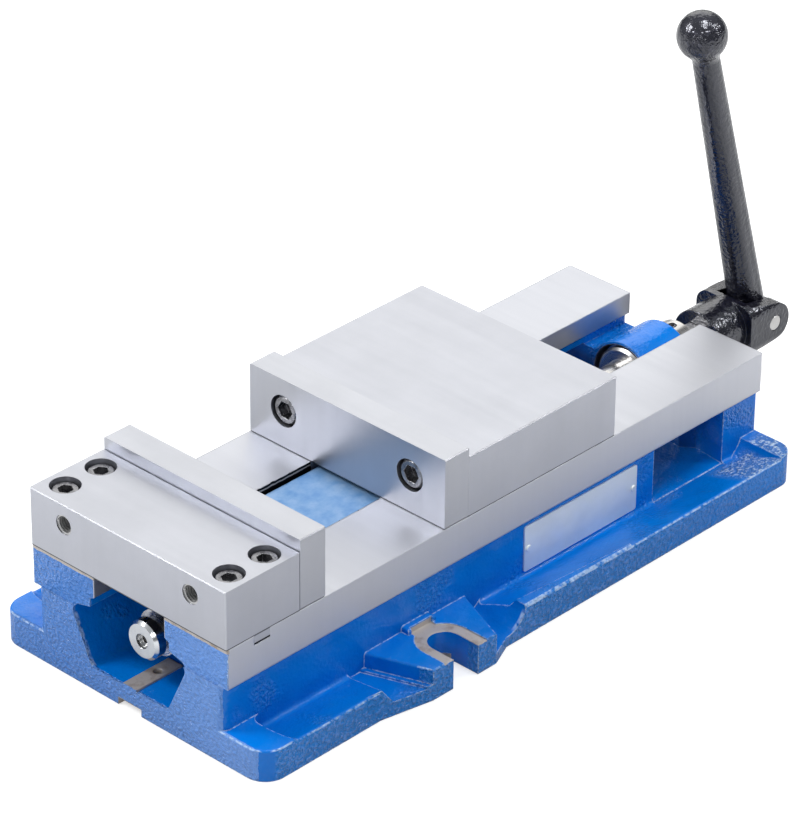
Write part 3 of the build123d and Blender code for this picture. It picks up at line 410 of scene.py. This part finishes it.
# %% Boxes of bare metal
margin = 0.4 * millimetre
far = 1.0
lip_bottom, lip_end = rail_top - 2.6 * millimetre, front + 2.4 * millimetre
key_half, key_top = 9.2 * millimetre, 4.9 * millimetre
spot_half, spot_start = 17.2 * millimetre, ear_reach - 35.2 * millimetre
spot_bottom, spot_top = 18.8 * millimetre, 19.7 * millimetre
lug_half, lug_top = 8.9 * millimetre, 22.6 * millimetre
pad_half, pad_end = 5.6 * millimetre, front + 35.2 * millimetre
pad_bottom, pad_top = 1 * millimetre, 16.5 * millimetre
bare_boxes = {
    "rail tops": ((-far, -far, rail_top - margin), (far, far, far)),
    "rail sides": ((front + 1.6 * millimetre, rail_side - margin, rail_bottom), (far, far, far)),
    "guide faces": ((-far, guide_side - margin, guide_bottom - margin),
                    (far, guide_side + margin, far)),
    "keyway": ((front + 20.8 * millimetre, 0, rail_top - 6.4 * millimetre),
               (front + 33.2 * millimetre, far, far)),
    "front lips": ((-far, -far, lip_bottom), (lip_end, far, far)),
    "end key slots": ((-far, 0, -far), (far, key_half, key_top)),
    "side key slots": ((ear_place - key_half, 66 * millimetre, -far),
                       (ear_place + key_half, far, key_top)),
    "spot faces": ((ear_place - spot_half, spot_start, spot_bottom),
                   (ear_place + spot_half, far, spot_top)),
    "lug faces": ((ear_place - lug_half, 76.6 * millimetre, spot_bottom),
                  (ear_place + lug_half, 77.3 * millimetre, lug_top)),
    "channel pad": ((front + margin, -far, pad_bottom), (pad_end, pad_half, pad_top)),
}
print("bare faces:", ", ".join(bare_boxes))

# %% [markdown]
# Between the jaws the far guide face can be seen beside the nut. It is painted black, a painted
# shade in the narrow gap, with one pale brown line close below the rail's top, a painted highlight
# where that face catches the light. Two more boxes say where.

# %% Boxes of painted shade and painted highlight
opening_start = plate_high.x
opening_end = opening_start + 94 * millimetre
guide_shade_band = ((opening_start, guide_side - 2 * margin, guide_bottom),
             (opening_end, guide_side + margin, rail_top - 0.3 * margin))
guide_glint_line = ((opening_start, guide_side - 2 * margin, rail_top - 2.6 * millimetre),
              (opening_end, guide_side + margin, rail_top - 1.6 * millimetre))
print("oil between", round(opening_start, 4), "and", round(opening_end, 4))

# %% [markdown]
# The paint's edge isn't straight, because the faces were milled through a rough skin. So each
# point is moved a few tenths of a millimetre by a noise before the boxes test it.

# %% Where a point of the bed lies
ragged_scale = 260.0
wander_reach = (1.2 * millimetre, 0.2 * millimetre, 1.2 * millimetre)


def bed_point(w):
    """The place of the shaded point on the bed, with a wandering edge, and its face's tilt."""
    place = w.place()
    ragged = w.node("ShaderNodeTexNoise", {"Vector": place, "Scale": ragged_scale, "Detail": 3.0})
    wander = w.vector("SUBTRACT", ragged.outputs["Color"], (0.5, 0.5, 0.5))
    moved = w.parts(w.vector("MULTIPLY_ADD", wander, wander_reach, place))
    side = w.math("ABSOLUTE", moved["Y"])
    return {
        "place": place,
        "x": moved["X"],
        "y": moved["Y"],
        "z": moved["Z"],
        "side": side,
        "folded": w.join(moved["X"], side, moved["Z"]),
        "tilt": w.parts(w.node("ShaderNodeNewGeometry").outputs["Normal"])["Z"],
    }


def box_mask(w, at, box):
    """One box's mask."""
    return w.group(inside_box, position=at["folded"], low=box[0], high=box[1])["Mask"]


def bare_mask(w, at):
    """Bare metal: the boxes, the bore of the bearing pocket and the underside."""
    boxes = [box_mask(w, at, box) for box in bare_boxes.values()]
    from_axis = w.join(0.0, at["y"], w.math("SUBTRACT", at["z"], axis_height))
    in_bore = w.math("LESS_THAN", w.vector("LENGTH", from_axis, output="Value"), pocket_radius)
    in_web = w.math("GREATER_THAN", at["x"], web_front)
    underside = w.math("LESS_THAN", w.parts(at["place"])["Z"], 0.05 * millimetre)
    return w.most(*boxes, w.product(in_bore, in_web), underside)


print("masks of the bed ready")

# %% [markdown]
# The rails are clean ground steel. The milled strips low on the bed and the front lips were
# never ground, and have gone brown in clouds. They are also less of a mirror.

# %% The bed's metal
steel_colour = (0.53, 0.54, 0.585, 1.0)
spot_and_glint_colour = (0.5, 0.46, 0.43, 1.0)
rust_colour = (0.24, 0.17, 0.12, 1.0)
# This black is oil in the jaws' joint, and painted shade on the guide face and under the jaw's
# tongue.
oil_and_shade_black = (0.012, 0.011, 0.012, 1.0)


def bed_metal(w, at):
    """The metal's colour with the guide face's painted shade and painted highlight, and a mask of
    the old brown metal and that highlight.
    """
    lip = box_mask(w, at, bare_boxes["front lips"])
    guide_glint = box_mask(w, at, guide_glint_line)
    guide_shade = box_mask(w, at, guide_shade_band)
    old_and_glint = w.most(w.spread(at["z"], 30 * millimetre, 22 * millimetre), lip, guide_glint)
    patina = w.group(handling_clouds, size=120.0)["Clouds"]
    brown = w.blend(w.spread(patina, 0.5, 1.0, 0.0, 0.6), spot_and_glint_colour, rust_colour)
    metal = w.blend(old_and_glint, steel_colour, brown)
    return w.blend(guide_glint, w.blend(guide_shade, metal, oil_and_shade_black), spot_and_glint_colour), old_and_glint


print("metal of the bed ready")

# %% [markdown]
# Three places keep the coarsest skin: the outer sides of the flange, more so towards the front,
# the whole front end, and the tops of the rear corners. Each gets a mask of its own, because the
# paint is coloured differently there too. It is painted paler on the front end, most of all on the
# near side, and on the rear corners, a painted reflection of the bright room.

# %% The bed's coarse places, and its paint with a painted reflection
deep_blue = (0.0, 0.15, 0.59, 1.0)
clear_blue = (0.0, 0.185, 0.67, 1.0)
coarse_blue = (0.0, 0.185, 0.62, 1.0)
front_sheen_blue = (0.07, 0.225, 0.63, 1.0)
pale_front_sheen_blue = (0.14, 0.31, 0.73, 1.0)


def coarse_places(w, at):
    """Masks of the outer side, the front end and the rear corner, and of all three."""
    upward_face = w.spread(at["tilt"], 0.8, 0.95)
    rearward = w.spread(at["x"], front + 240 * millimetre, front + 400 * millimetre, 1.0, 0.45)
    outer = w.spread(at["side"], flange_side - 1.5 * millimetre, flange_side - 0.5 * millimetre)
    side = w.product(outer, w.math("SUBTRACT", rearward, upward_face))
    end = w.spread(at["x"], front + 2.2 * millimetre, front + 1.6 * millimetre, 0.0, 0.75)
    corner = w.product(
        w.spread(at["side"], wall_side + 1 * millimetre, wall_side + 9 * millimetre),
        w.spread(at["tilt"], 0.5, 0.7),
        w.spread(at["x"], rear - 50 * millimetre, rear - 40 * millimetre, 0.0, 0.95),
    )
    return {"side": side, "end": end, "corner": corner, "all": w.most(side, end, corner)}


def paint_with_sheen(w, at, clouds, coarse):
    """The paint's own blues, with a painted reflection on the front end and the rear corners."""
    paint = w.blend(clouds, deep_blue, clear_blue)
    paint = w.blend(coarse["side"], paint, coarse_blue)
    # Painted reflection: the rear corners paler.
    paint = w.blend(coarse["corner"], paint, front_sheen_blue)
    # Painted reflection: the front end paler, most of all on its near side.
    nearer = w.spread(at["y"], 40 * millimetre, -60 * millimetre)
    end_sheen_paint = w.blend(nearer, front_sheen_blue, pale_front_sheen_blue)
    return w.blend(w.math("GREATER_THAN", coarse["end"], 0.5), paint, end_sheen_paint)


print("plain paint ready")

# %% [markdown]
# Three things change the blue from place to place, all of them painted light. On the pebbles'
# peaks a painted glint makes the blue pale. Along the edges painted highlights stand in small
# bright beads. Low down inside, a painted shade makes it dull and dark. Bump alone can't show
# these at the size of the picture, so they are colours.

# %% The bed's painted glints, edge highlights and inner shade
peak_glint_blue = (0.16, 0.4, 1.0, 1.0)
bead_highlight_blue = (0.62, 0.78, 0.97, 1.0)
shaded_blue = (0.004, 0.055, 0.22, 1.0)
end_glint_share = 0.16
edge_highlight_share = 0.85
rim_highlight_share = 0.6


def painted_peak_glints(w, at, paint, peaks, coarse):
    """Painted glints: pale paint on the peaks, more of it towards the front and on the rear
    corners.
    """
    forward = w.spread(at["x"], front + 280 * millimetre, front + 420 * millimetre, 0.42, 0.12)
    rougher = w.spread(coarse["all"], 0.0, 0.3, 0.45, 1.0)
    glinting = w.product(w.most(forward, coarse["corner"]), rougher)
    share = w.product(peaks, w.between(coarse["end"], glinting, end_glint_share))
    return w.blend(share, paint, w.blend(coarse["corner"], peak_glint_blue, bead_highlight_blue))


def painted_edge_beads(w, at, paint, edge):
    """Painted highlights: bright beads along the flange's edges and on its rounded rim, weaker on
    the walls.
    """
    highlight_spots = w.spread(w.noise(at["place"], 300.0), 0.36, 0.56)
    rounded = w.product(w.spread(at["tilt"], 0.3, 0.5), w.spread(at["tilt"], 0.95, 0.8))
    rim = w.most(
        w.spread(at["side"], flange_side - 2.8 * millimetre, flange_side - 2 * millimetre),
        w.spread(at["x"], front + 3 * millimetre, front + 2.2 * millimetre),
    )
    near_wall, past_wall = wall_side - 5 * millimetre, wall_side + 1 * millimetre
    on_flange = w.spread(at["side"], near_wall, past_wall, 0.25, 1.0)
    bright = w.most(
        w.product(edge, on_flange, edge_highlight_share),
        w.product(rounded, rim, rim_highlight_share),
    )
    return w.blend(w.product(bright, highlight_spots), paint, bead_highlight_blue)


def painted_inner_shade(w, at, paint):
    """Painted shade: darker paint low down inside, from the middle of the bed to its rear."""
    deep = w.spread(at["side"], wall_side - 1 * millimetre, wall_side - 23 * millimetre)
    low = w.spread(at["z"], 50 * millimetre, 44 * millimetre)
    behind = w.spread(at["x"], front + 200 * millimetre, front + 250 * millimetre, 0.0, 0.8)
    return w.blend(w.product(deep, low, behind), paint, shaded_blue)


print("paint effects ready")

# %% [markdown]
# Now the pieces come together. The mask chooses between paint and metal for the colour, the
# metallic value, the roughness and the bump. The paint's bump is the cast skin, the metal's is
# the grinding lines.

# %% Material: blue casting
old_and_glint_metallic = 0.35
line_depth = 0.006 * millimetre
line_strength = 0.4


def casting_material():
    """Blue paint over cast iron, with bare metal where the bed is machined."""
    material, w, shader = new_material("blue_casting")
    at = bed_point(w)
    bare = bare_mask(w, at)
    metal, old_and_glint = bed_metal(w, at)
    coarse = coarse_places(w, at)
    clouds = w.group(handling_clouds, size=14.0)["Clouds"]
    skin = w.group(cast_skin, grain=480.0, coarseness=coarse["all"], calm=0.09)
    edges = w.group(soft_edges, radius=1.2 * millimetre)

    paint = paint_with_sheen(w, at, clouds, coarse)
    # Painted glints on the peaks, painted highlights along the edges and painted shade inside.
    paint = painted_peak_glints(w, at, paint, skin["Peaks"], coarse)
    paint = painted_edge_beads(w, at, paint, edges["Edge"])
    paint = painted_inner_shade(w, at, paint)
    w.feed(shader["Base Color"], w.blend(bare, paint, metal))
    w.feed(shader["Metallic"], w.product(bare, w.between(old_and_glint, 1.0, old_and_glint_metallic)))

    lines = w.group(grinding_lines, fineness=1500.0, length=25.0)
    steel_rough = w.spread(lines["Streaks"], 0.0, 1.0, 0.42, 0.5)
    paint_rough = w.spread(clouds, 0.0, 1.0, 0.07, 0.15)
    w.feed(shader["Roughness"], w.between(bare, paint_rough, steel_rough))
    shader["IOR"].default_value = 1.38
    pebbled = w.bump(skin["Height"], 4.2 * millimetre, 1.0, edges["Normal"])
    lined = w.bump(lines["Height"], line_depth, line_strength, edges["Normal"])
    w.feed(shader["Normal"], w.mix("VECTOR", bare, pebbled, lined))
    return material


wear_finish(casting_material(), "bed")
print("bed dressed")

# %% [markdown]
# Ground steel: the jaws and their plates. It is a metal whose roughness changes from streak to
# streak, with a very shallow bump for the grinding lines and a bright thin edge, partly a painted
# highlight in the colour. The upper edges face the main light and would glare, so their colour is
# painted darker, a painted shade. Oil and dirt sit in the joint with the rails and draw a thin
# dark line there. The tongue of the fixed jaw is painted dark below the rail tops, a painted shade
# where it sits in the keyway.

# %% Material: ground steel
joint_height = rail_top + 0.2 * millimetre
tongue_end = rail_top - 4.5 * millimetre


def joint_dirt_and_tongue_shade(w):
    """A mask of the dirty joint with the rails, and of painted shade on the tongue's lower end."""
    height = w.parts(w.place())["Z"]
    from_joint = w.math("ABSOLUTE", w.math("SUBTRACT", height, joint_height))
    joint = w.spread(from_joint, 0.55 * millimetre, 0.3 * millimetre, 0.0, 0.8)
    tongue_shade = w.spread(height, tongue_end, tongue_end - 0.2 * millimetre)
    return w.most(joint, tongue_shade)


def ground_material(name, colour, rough, fineness, length):
    """Steel from the surface grinder."""
    material, w, shader = new_material(name)
    lines = w.group(grinding_lines, fineness=fineness, length=length)
    clouds = w.group(handling_clouds, size=18.0)["Clouds"]
    edges = w.group(soft_edges, radius=0.2 * millimetre)
    clean = w.blend(clouds, toned(colour, 0.96), toned(colour, 1.03))
    # Painted highlight: every edge a little lighter.
    clean = w.blend(w.product(edges["Edge"], 0.3), clean, grey(0.7))
    # Painted shade: edges that face up are darkened against the main light's glare.
    bent_up = w.parts(edges["Normal"])["Z"]
    upper_edge_shade = w.product(w.spread(bent_up, 0.3, 0.5, 0.0, 0.5), w.spread(bent_up, 0.96, 0.88))
    clean = w.blend(upper_edge_shade, clean, grey(0.15))
    w.feed(shader["Base Color"], w.blend(joint_dirt_and_tongue_shade(w), clean, oil_and_shade_black))
    shader["Metallic"].default_value = 1.0
    w.feed(shader["Roughness"], w.spread(lines["Streaks"], 0.0, 1.0, rough - 0.03, rough + 0.04))
    w.feed(shader["Normal"], w.bump(lines["Height"], line_depth, line_strength, edges["Normal"]))
    return material


wear_finish(ground_material("ground_steel", (0.465, 0.475, 0.52), 0.42, 1500.0, 25.0),
            "fixed_jaw", "movable_jaw")
wear_finish(ground_material("jaw_plate_steel", (0.46, 0.47, 0.51), 0.4, 2400.0, 40.0),
            "fixed_jaw_plate", "movable_jaw_plate")
print("jaws and plates dressed")

# %% [markdown]
# Turned steel: the screw, its collars, the races and the pin. The same recipe with rings
# instead of lines. It is smoother than ground steel, so it mirrors the room in sharp bands.

# %% Material: turned steel
ring_depth = 0.04 * millimetre
ring_strength = 0.6


def turned_material(name, colour, rough, fineness):
    """Steel from the lathe."""
    material, w, shader = new_material(name)
    rings = w.group(turning_rings, fineness=fineness)
    clouds = w.group(handling_clouds, size=60.0)["Clouds"]
    edges = w.group(soft_edges, radius=0.3 * millimetre)
    body = w.blend(w.product(clouds, 0.5), toned(colour, 1.0), toned(colour, 0.6))
    w.feed(shader["Base Color"], w.blend(edges["Edge"], body, grey(0.92)))
    shader["Metallic"].default_value = 1.0
    w.feed(shader["Roughness"], w.spread(rings["Streaks"], 0.0, 1.0, rough - 0.07, rough + 0.08))
    w.feed(shader["Normal"], w.bump(rings["Height"], ring_depth, ring_strength, edges["Normal"]))
    return material


wear_finish(turned_material("turned_steel", (0.6, 0.59, 0.58), 0.27, 1500.0),
            "screw", "rear_collar", "handle_pin")
wear_finish(turned_material("polished_collar", (0.74, 0.76, 0.78), 0.18, 2200.0), "front_collar")
wear_finish(turned_material("bearing_steel", (0.5, 0.5, 0.51), 0.2, 2600.0),
            "thrust_race_front", "thrust_race_rear", "needle_cage", "needles", "half_ball_segment")
print("turned pieces dressed")

# %% [markdown]
# Blackened screws. Black oxide is a thin dark skin on steel: still metallic, but dim, and worn
# to lighter grey on the edges and where a key has rubbed. A plain black plastic look would
# miss the bright rims, so the worn steel shows through by the edge mask.

# %% Material: black screws
oxide_black = (0.1, 0.1, 0.11, 1.0)
worn_oxide = (0.62, 0.62, 0.64, 1.0)


def black_screw_material():
    """Black oxide on socket head screws."""
    material, w, shader = new_material("black_screws")
    clouds = w.group(handling_clouds, size=240.0)["Clouds"]
    edges = w.group(soft_edges, radius=0.5 * millimetre)
    worn = w.most(w.product(edges["Edge"], 0.8), w.product(clouds, 0.35))
    w.feed(shader["Base Color"], w.blend(worn, oxide_black, worn_oxide))
    shader["Metallic"].default_value = 0.9
    w.feed(shader["Roughness"], w.spread(clouds, 0.0, 1.0, 0.2, 0.36))
    w.feed(shader["Normal"], edges["Normal"])
    return material


wear_finish(black_screw_material(), "fixed_jaw_bolts", "fixed_jaw_plate_screws",
            "movable_jaw_plate_screws", "jaw_set_screw", "front_collar_screw", "rear_collar_screw")
print("screws dressed")

# %% [markdown]
# The handle is cast and dipped in black lacquer. It is nearly black, so its form shows only in
# what it mirrors. The cast skin shows through the gloss, shallower than on the bed. Its skin's
# peaks are painted a little lighter, a painted glint. A clear coat on top would smooth that skin
# away, so the lacquer itself is the shiny layer, and a high index of refraction gives it hard
# glints.

# %% Material: black handle
lacquer_black = (0.003, 0.003, 0.007, 1.0)
lacquer_sheen = (0.007, 0.007, 0.013, 1.0)
lacquer_peak_glint = (0.03, 0.03, 0.045, 1.0)


def handle_material():
    """Gloss black lacquer on a casting."""
    material, w, shader = new_material("black_handle")
    skin = w.group(cast_skin, grain=420.0, coarseness=0.35)
    clouds = w.group(handling_clouds, size=70.0)["Clouds"]
    edges = w.group(soft_edges, radius=0.8 * millimetre)
    lacquer = w.blend(clouds, lacquer_black, lacquer_sheen)
    # Painted glints: the skin's peaks a little lighter.
    w.feed(shader["Base Color"], w.blend(skin["Peaks"], lacquer, lacquer_peak_glint))
    w.feed(shader["Roughness"], w.spread(clouds, 0.0, 1.0, 0.1, 0.18))
    shader["IOR"].default_value = 1.75
    shader["Specular Tint"].default_value = (0.9, 0.92, 1.0, 1.0)
    w.feed(shader["Normal"], w.bump(skin["Height"], 1.5 * millimetre, 1.0, edges["Normal"]))
    return material


wear_finish(handle_material(), "handle_head", "handle_arm")
print("handle dressed")

# %% [markdown]
# The nut's long cover lies between the jaws. Its blue is duller than the bed's and painted paler,
# a painted reflection of the bright room in its flat top, with pale clouds where chips and fingers
# have rubbed it. Its front end, and the boss that rises into the jaw, are bare brown iron. One
# length and one height divide paint from iron.

# %% Material: blue nut
cover_start = front + 40.4 * millimetre
boss_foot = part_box("nut")[1].z - 29.5 * millimetre
pale_cover_sheen_blue = (0.1, 0.26, 0.54, 1.0)
rubbed_blue = (0.25, 0.41, 0.65, 1.0)
dark_iron = (0.2, 0.16, 0.13, 1.0)
pale_iron = (0.34, 0.3, 0.27, 1.0)


def nut_material():
    """Satin blue on top of the nut's cover, painted pale as a painted reflection, bare iron
    elsewhere.
    """
    material, w, shader = new_material("blue_nut")
    point = w.parts(w.place())
    clouds = w.group(handling_clouds, size=110.0)["Clouds"]
    on_cover = w.spread(point["X"], cover_start, cover_start + 0.4 * millimetre)
    under_boss = w.spread(point["Z"], boss_foot, boss_foot - 1 * millimetre)
    painted = w.product(on_cover, under_boss)
    # The base blue is painted pale, a painted reflection; the paler clouds are rubbed wear.
    blue = w.blend(clouds, pale_cover_sheen_blue, rubbed_blue)
    iron = w.blend(clouds, dark_iron, pale_iron)
    w.feed(shader["Base Color"], w.blend(painted, iron, blue))
    w.feed(shader["Metallic"], w.math("SUBTRACT", 1.0, painted))
    w.feed(shader["Roughness"], w.spread(clouds, 0.0, 1.0, 0.34, 0.5))
    skin = w.group(cast_skin, grain=500.0, coarseness=0.1)
    edges = w.group(soft_edges, radius=0.5 * millimetre)
    w.feed(shader["Normal"], w.bump(skin["Height"], 0.2 * millimetre, 0.4, edges["Normal"]))
    return material


wear_finish(nut_material(), "nut")
print("nut dressed")

# %% [markdown]
# The nameplate stays bare: a brushed aluminium plate and two rivets. Its brushing runs the
# long way of the plate, so the group of the grinding lines serves again, with the small and
# the large value changed about.

# %% Material: plate aluminium
plate_grey = (0.76, 0.8, 0.81, 1.0)
plate_bright = (0.85, 0.89, 0.9, 1.0)


def nameplate_material():
    """Brushed aluminium with a cool tint."""
    material, w, shader = new_material("plate_aluminium")
    lines = w.group(grinding_lines, fineness=60.0, length=4200.0)
    clouds = w.group(handling_clouds, size=30.0)["Clouds"]
    edges = w.group(soft_edges, radius=0.3 * millimetre)
    tone = w.blend(clouds, plate_grey, plate_bright)
    w.feed(shader["Base Color"], w.blend(edges["Edge"], tone, grey(0.85)))
    shader["Metallic"].default_value = 0.45
    w.feed(shader["Roughness"], w.spread(lines["Streaks"], 0.0, 1.0, 0.42, 0.55))
    w.feed(shader["Normal"], w.bump(lines["Height"], 0.02 * millimetre, 0.5, edges["Normal"]))
    return material


wear_finish(nameplate_material(), "nameplate", "nameplate_rivets")
print("nameplate dressed")

# %% [markdown]
# Threads. A thread is one ridge wound round an axis. A bump can't change an outline, so the
# ridge is a mesh, and the mesh follows the winding: each row of points lies along the helix,
# four rows to a turn give crisp flanks, and a row's last point joins the first point of the
# same row one turn on.

# %% Threads
row_shares = (0.0, 0.35, 0.5, 0.85)


def thread_piece(name, start, end, pitch, root, crest, centre, sides=48):
    """A wound ridge between two X values about an axis along X through the centre (y, z)."""
    radii = (root, root, crest, crest)
    turns = math.ceil((end - start) / pitch) + 1
    points = []
    for turn_number in range(-1, turns):
        for share, radius in zip(row_shares, radii):
            for side in range(sides):
                angle = 2 * math.pi * side / sides
                x = start + (turn_number + share + side / sides) * pitch
                y = centre[0] + radius * math.cos(angle)
                z = centre[1] + radius * math.sin(angle)
                points.append((min(max(x, start), end), y, z))
    faces = []
    for row in range(len(points) // sides - 1):
        for side in range(sides):
            here = row * sides + side
            beside = here + 1 if side < sides - 1 else (row + len(row_shares)) * sides
            if beside + sides < len(points):
                faces.append((here, beside, beside + sides, here + sides))
    mesh = bpy.data.meshes.new(name)
    mesh.from_pydata(points, [], faces)
    mesh.validate()
    piece = bpy.data.objects.new(name, mesh)
    bpy.context.scene.collection.objects.link(piece)
    return piece


print("threads have", len(row_shares), "rows to a turn")

# %% [markdown]
# The fixed jaw's outer face has two tapped holes, in line with the screws of its plate on the
# other side. CAD keeps them plain, so each gets its thread here, in worn grey steel.

# %% Threads of the outer holes
thread_steel, w, shader = new_material("thread_steel")
clouds = w.group(handling_clouds, size=300.0)["Clouds"]
w.feed(shader["Base Color"], w.blend(clouds, grey(0.36), grey(0.58)))
shader["Metallic"].default_value = 0.6
shader["Roughness"].default_value = 0.4

head_radius = 9 * millimetre
screws_low, screws_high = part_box("fixed_jaw_plate_screws")
hole_spread = screws_high.y - head_radius
hole_level = (screws_low.z + screws_high.z) / 2
outer_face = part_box("fixed_jaw")[0].x
for side_name, side in (("near", -1), ("far", 1)):
    thread = thread_piece(
        "outer_hole_thread_" + side_name,
        start=outer_face + 0.6 * millimetre,
        end=outer_face + 22 * millimetre,
        pitch=1.75 * millimetre,
        root=5.97 * millimetre,
        crest=5.1 * millimetre,
        centre=(side * hole_spread, hole_level),
    )
    thread.data.materials.append(thread_steel)
    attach(thread, "bed")
print("hole threads at", round(hole_spread, 4), "either side")

# %% [markdown]
# The floor is a pale sheet that runs far past the frame. For the camera and for mirrors it glows a
# little on top of the light that falls on it, so that it reads white while the vise still keeps
# its shadow. Close to the vise the sheet is painted a mid grey, a painted contact shade, which
# throws less light back onto the vise's sides and darkens the floor they mirror.

# %% Floor
floor_reach = 12.0
floor_drop = 0.3 * millimetre
contact_shade_grey, far_grey = grey(0.5), grey(0.86)
floor_glow = 0.6
mirror_share = 0.15

floor_mesh = bpy.data.meshes.new("floor")
corners = [(x * floor_reach, y * floor_reach, 0) for x, y in ((-1, -1), (1, -1), (1, 1), (-1, 1))]
floor_mesh.from_pydata(corners, [], [(0, 1, 2, 3)])
floor = bpy.data.objects.new("floor", floor_mesh)
floor.location.z = -floor_drop
bpy.context.scene.collection.objects.link(floor)

floor_material = bpy.data.materials.new("floor")
floor_material.use_nodes = True
floor_tree = floor_material.node_tree
floor_tree.nodes.remove(floor_tree.nodes["Principled BSDF"])
w = Wires(floor_tree)
from_middle = w.vector("LENGTH", w.place(), output="Value")
# Painted contact shade: the sheet grey near the vise, pale further out.
tone = w.blend(w.spread(from_middle, 0.16, 0.42), contact_shade_grey, far_grey)
paper = w.node("ShaderNodeBsdfDiffuse", {"Color": tone})
path = w.node("ShaderNodeLightPath").outputs
mirrored = w.product(w.most(path["Is Glossy Ray"], path["Is Transmission Ray"]), mirror_share)
seen = w.most(path["Is Camera Ray"], mirrored)
glow = w.node("ShaderNodeEmission", {"Color": grey(1.0), "Strength": w.product(seen, floor_glow)})
both = w.node("ShaderNodeAddShader")
w.feed(both.inputs[0], paper.outputs[0])
w.feed(both.inputs[1], glow.outputs[0])
w.feed(floor_tree.nodes["Material Output"].inputs["Surface"], both.outputs[0])
floor_mesh.materials.append(floor_material)
print("floor laid")

# %% [markdown]
# The room. Steel and gloss paint show what stands around them, so an even grey room would make
# them flat. This one is brighter overhead than near the floor, and has a brighter wall on the
# left, which the vise's front end mirrors.

# %% Room
left_wall_way = (-0.69, 0.72, 0.1)
left_wall_light = 0.3
low_light, high_light = 0.16, 0.55

world = bpy.data.worlds.new("room")
world.use_nodes = True
w = Wires(world.node_tree)
towards = w.node("ShaderNodeTexCoord").outputs["Generated"]
from_above = w.spread(w.parts(towards)["Z"], 0.05, 0.7, low_light, high_light, smooth=True)
leftward = w.vector("DOT_PRODUCT", towards, left_wall_way, output="Value")
from_left = w.spread(leftward, 0.72, 0.92, 0.0, left_wall_light, smooth=True)
background = world.node_tree.nodes["Background"].inputs
background["Color"].default_value = (0.94, 0.97, 1.0, 1.0)
w.feed(background["Strength"], w.math("ADD", from_above, from_left))
bpy.context.scene.world = world
print("room lit from", low_light, "low down to", high_light, "overhead")

# %% [markdown]
# Studio lamps: five soft boxes, left and right as the camera sees them. The key light stands
# high on the left, the large back panel behind the vise and one box overhead, so that tops are
# brightest, the front end comes next and the long side stays darkest. A weak one near the
# camera fills the front, and a weak one on the right picks out edges and the handle.

# %% Lamps
middle = (0, 0, 0.05)


def soft_box(name, place, size, power, colour=(1, 1, 1)):
    """A square lamp that points at the middle of the vise."""
    lamp = bpy.data.lights.new(name, "AREA")
    lamp.shape = "RECTANGLE"
    lamp.size = lamp.size_y = size
    lamp.energy = power
    lamp.color = colour
    box = bpy.data.objects.new(name, lamp)
    box.location = place
    box.rotation_euler = (Vector(middle) - Vector(place)).to_track_quat("-Z", "Y").to_euler()
    bpy.context.scene.collection.objects.link(box)


soft_box("key_light", (-1.07, 1.13, 1.55), 0.6, 23)
soft_box("back_panel", (1.55, 1.4, 1.35), 1.9, 17, (1.0, 0.985, 0.94))
soft_box("overhead", (0.15, -0.5, 2.1), 0.6, 18)
soft_box("front_fill", (-1.8, -0.9, 0.9), 0.35, 5)
soft_box("rim_light", (1.3, -1.05, 1.2), 0.3, 7)
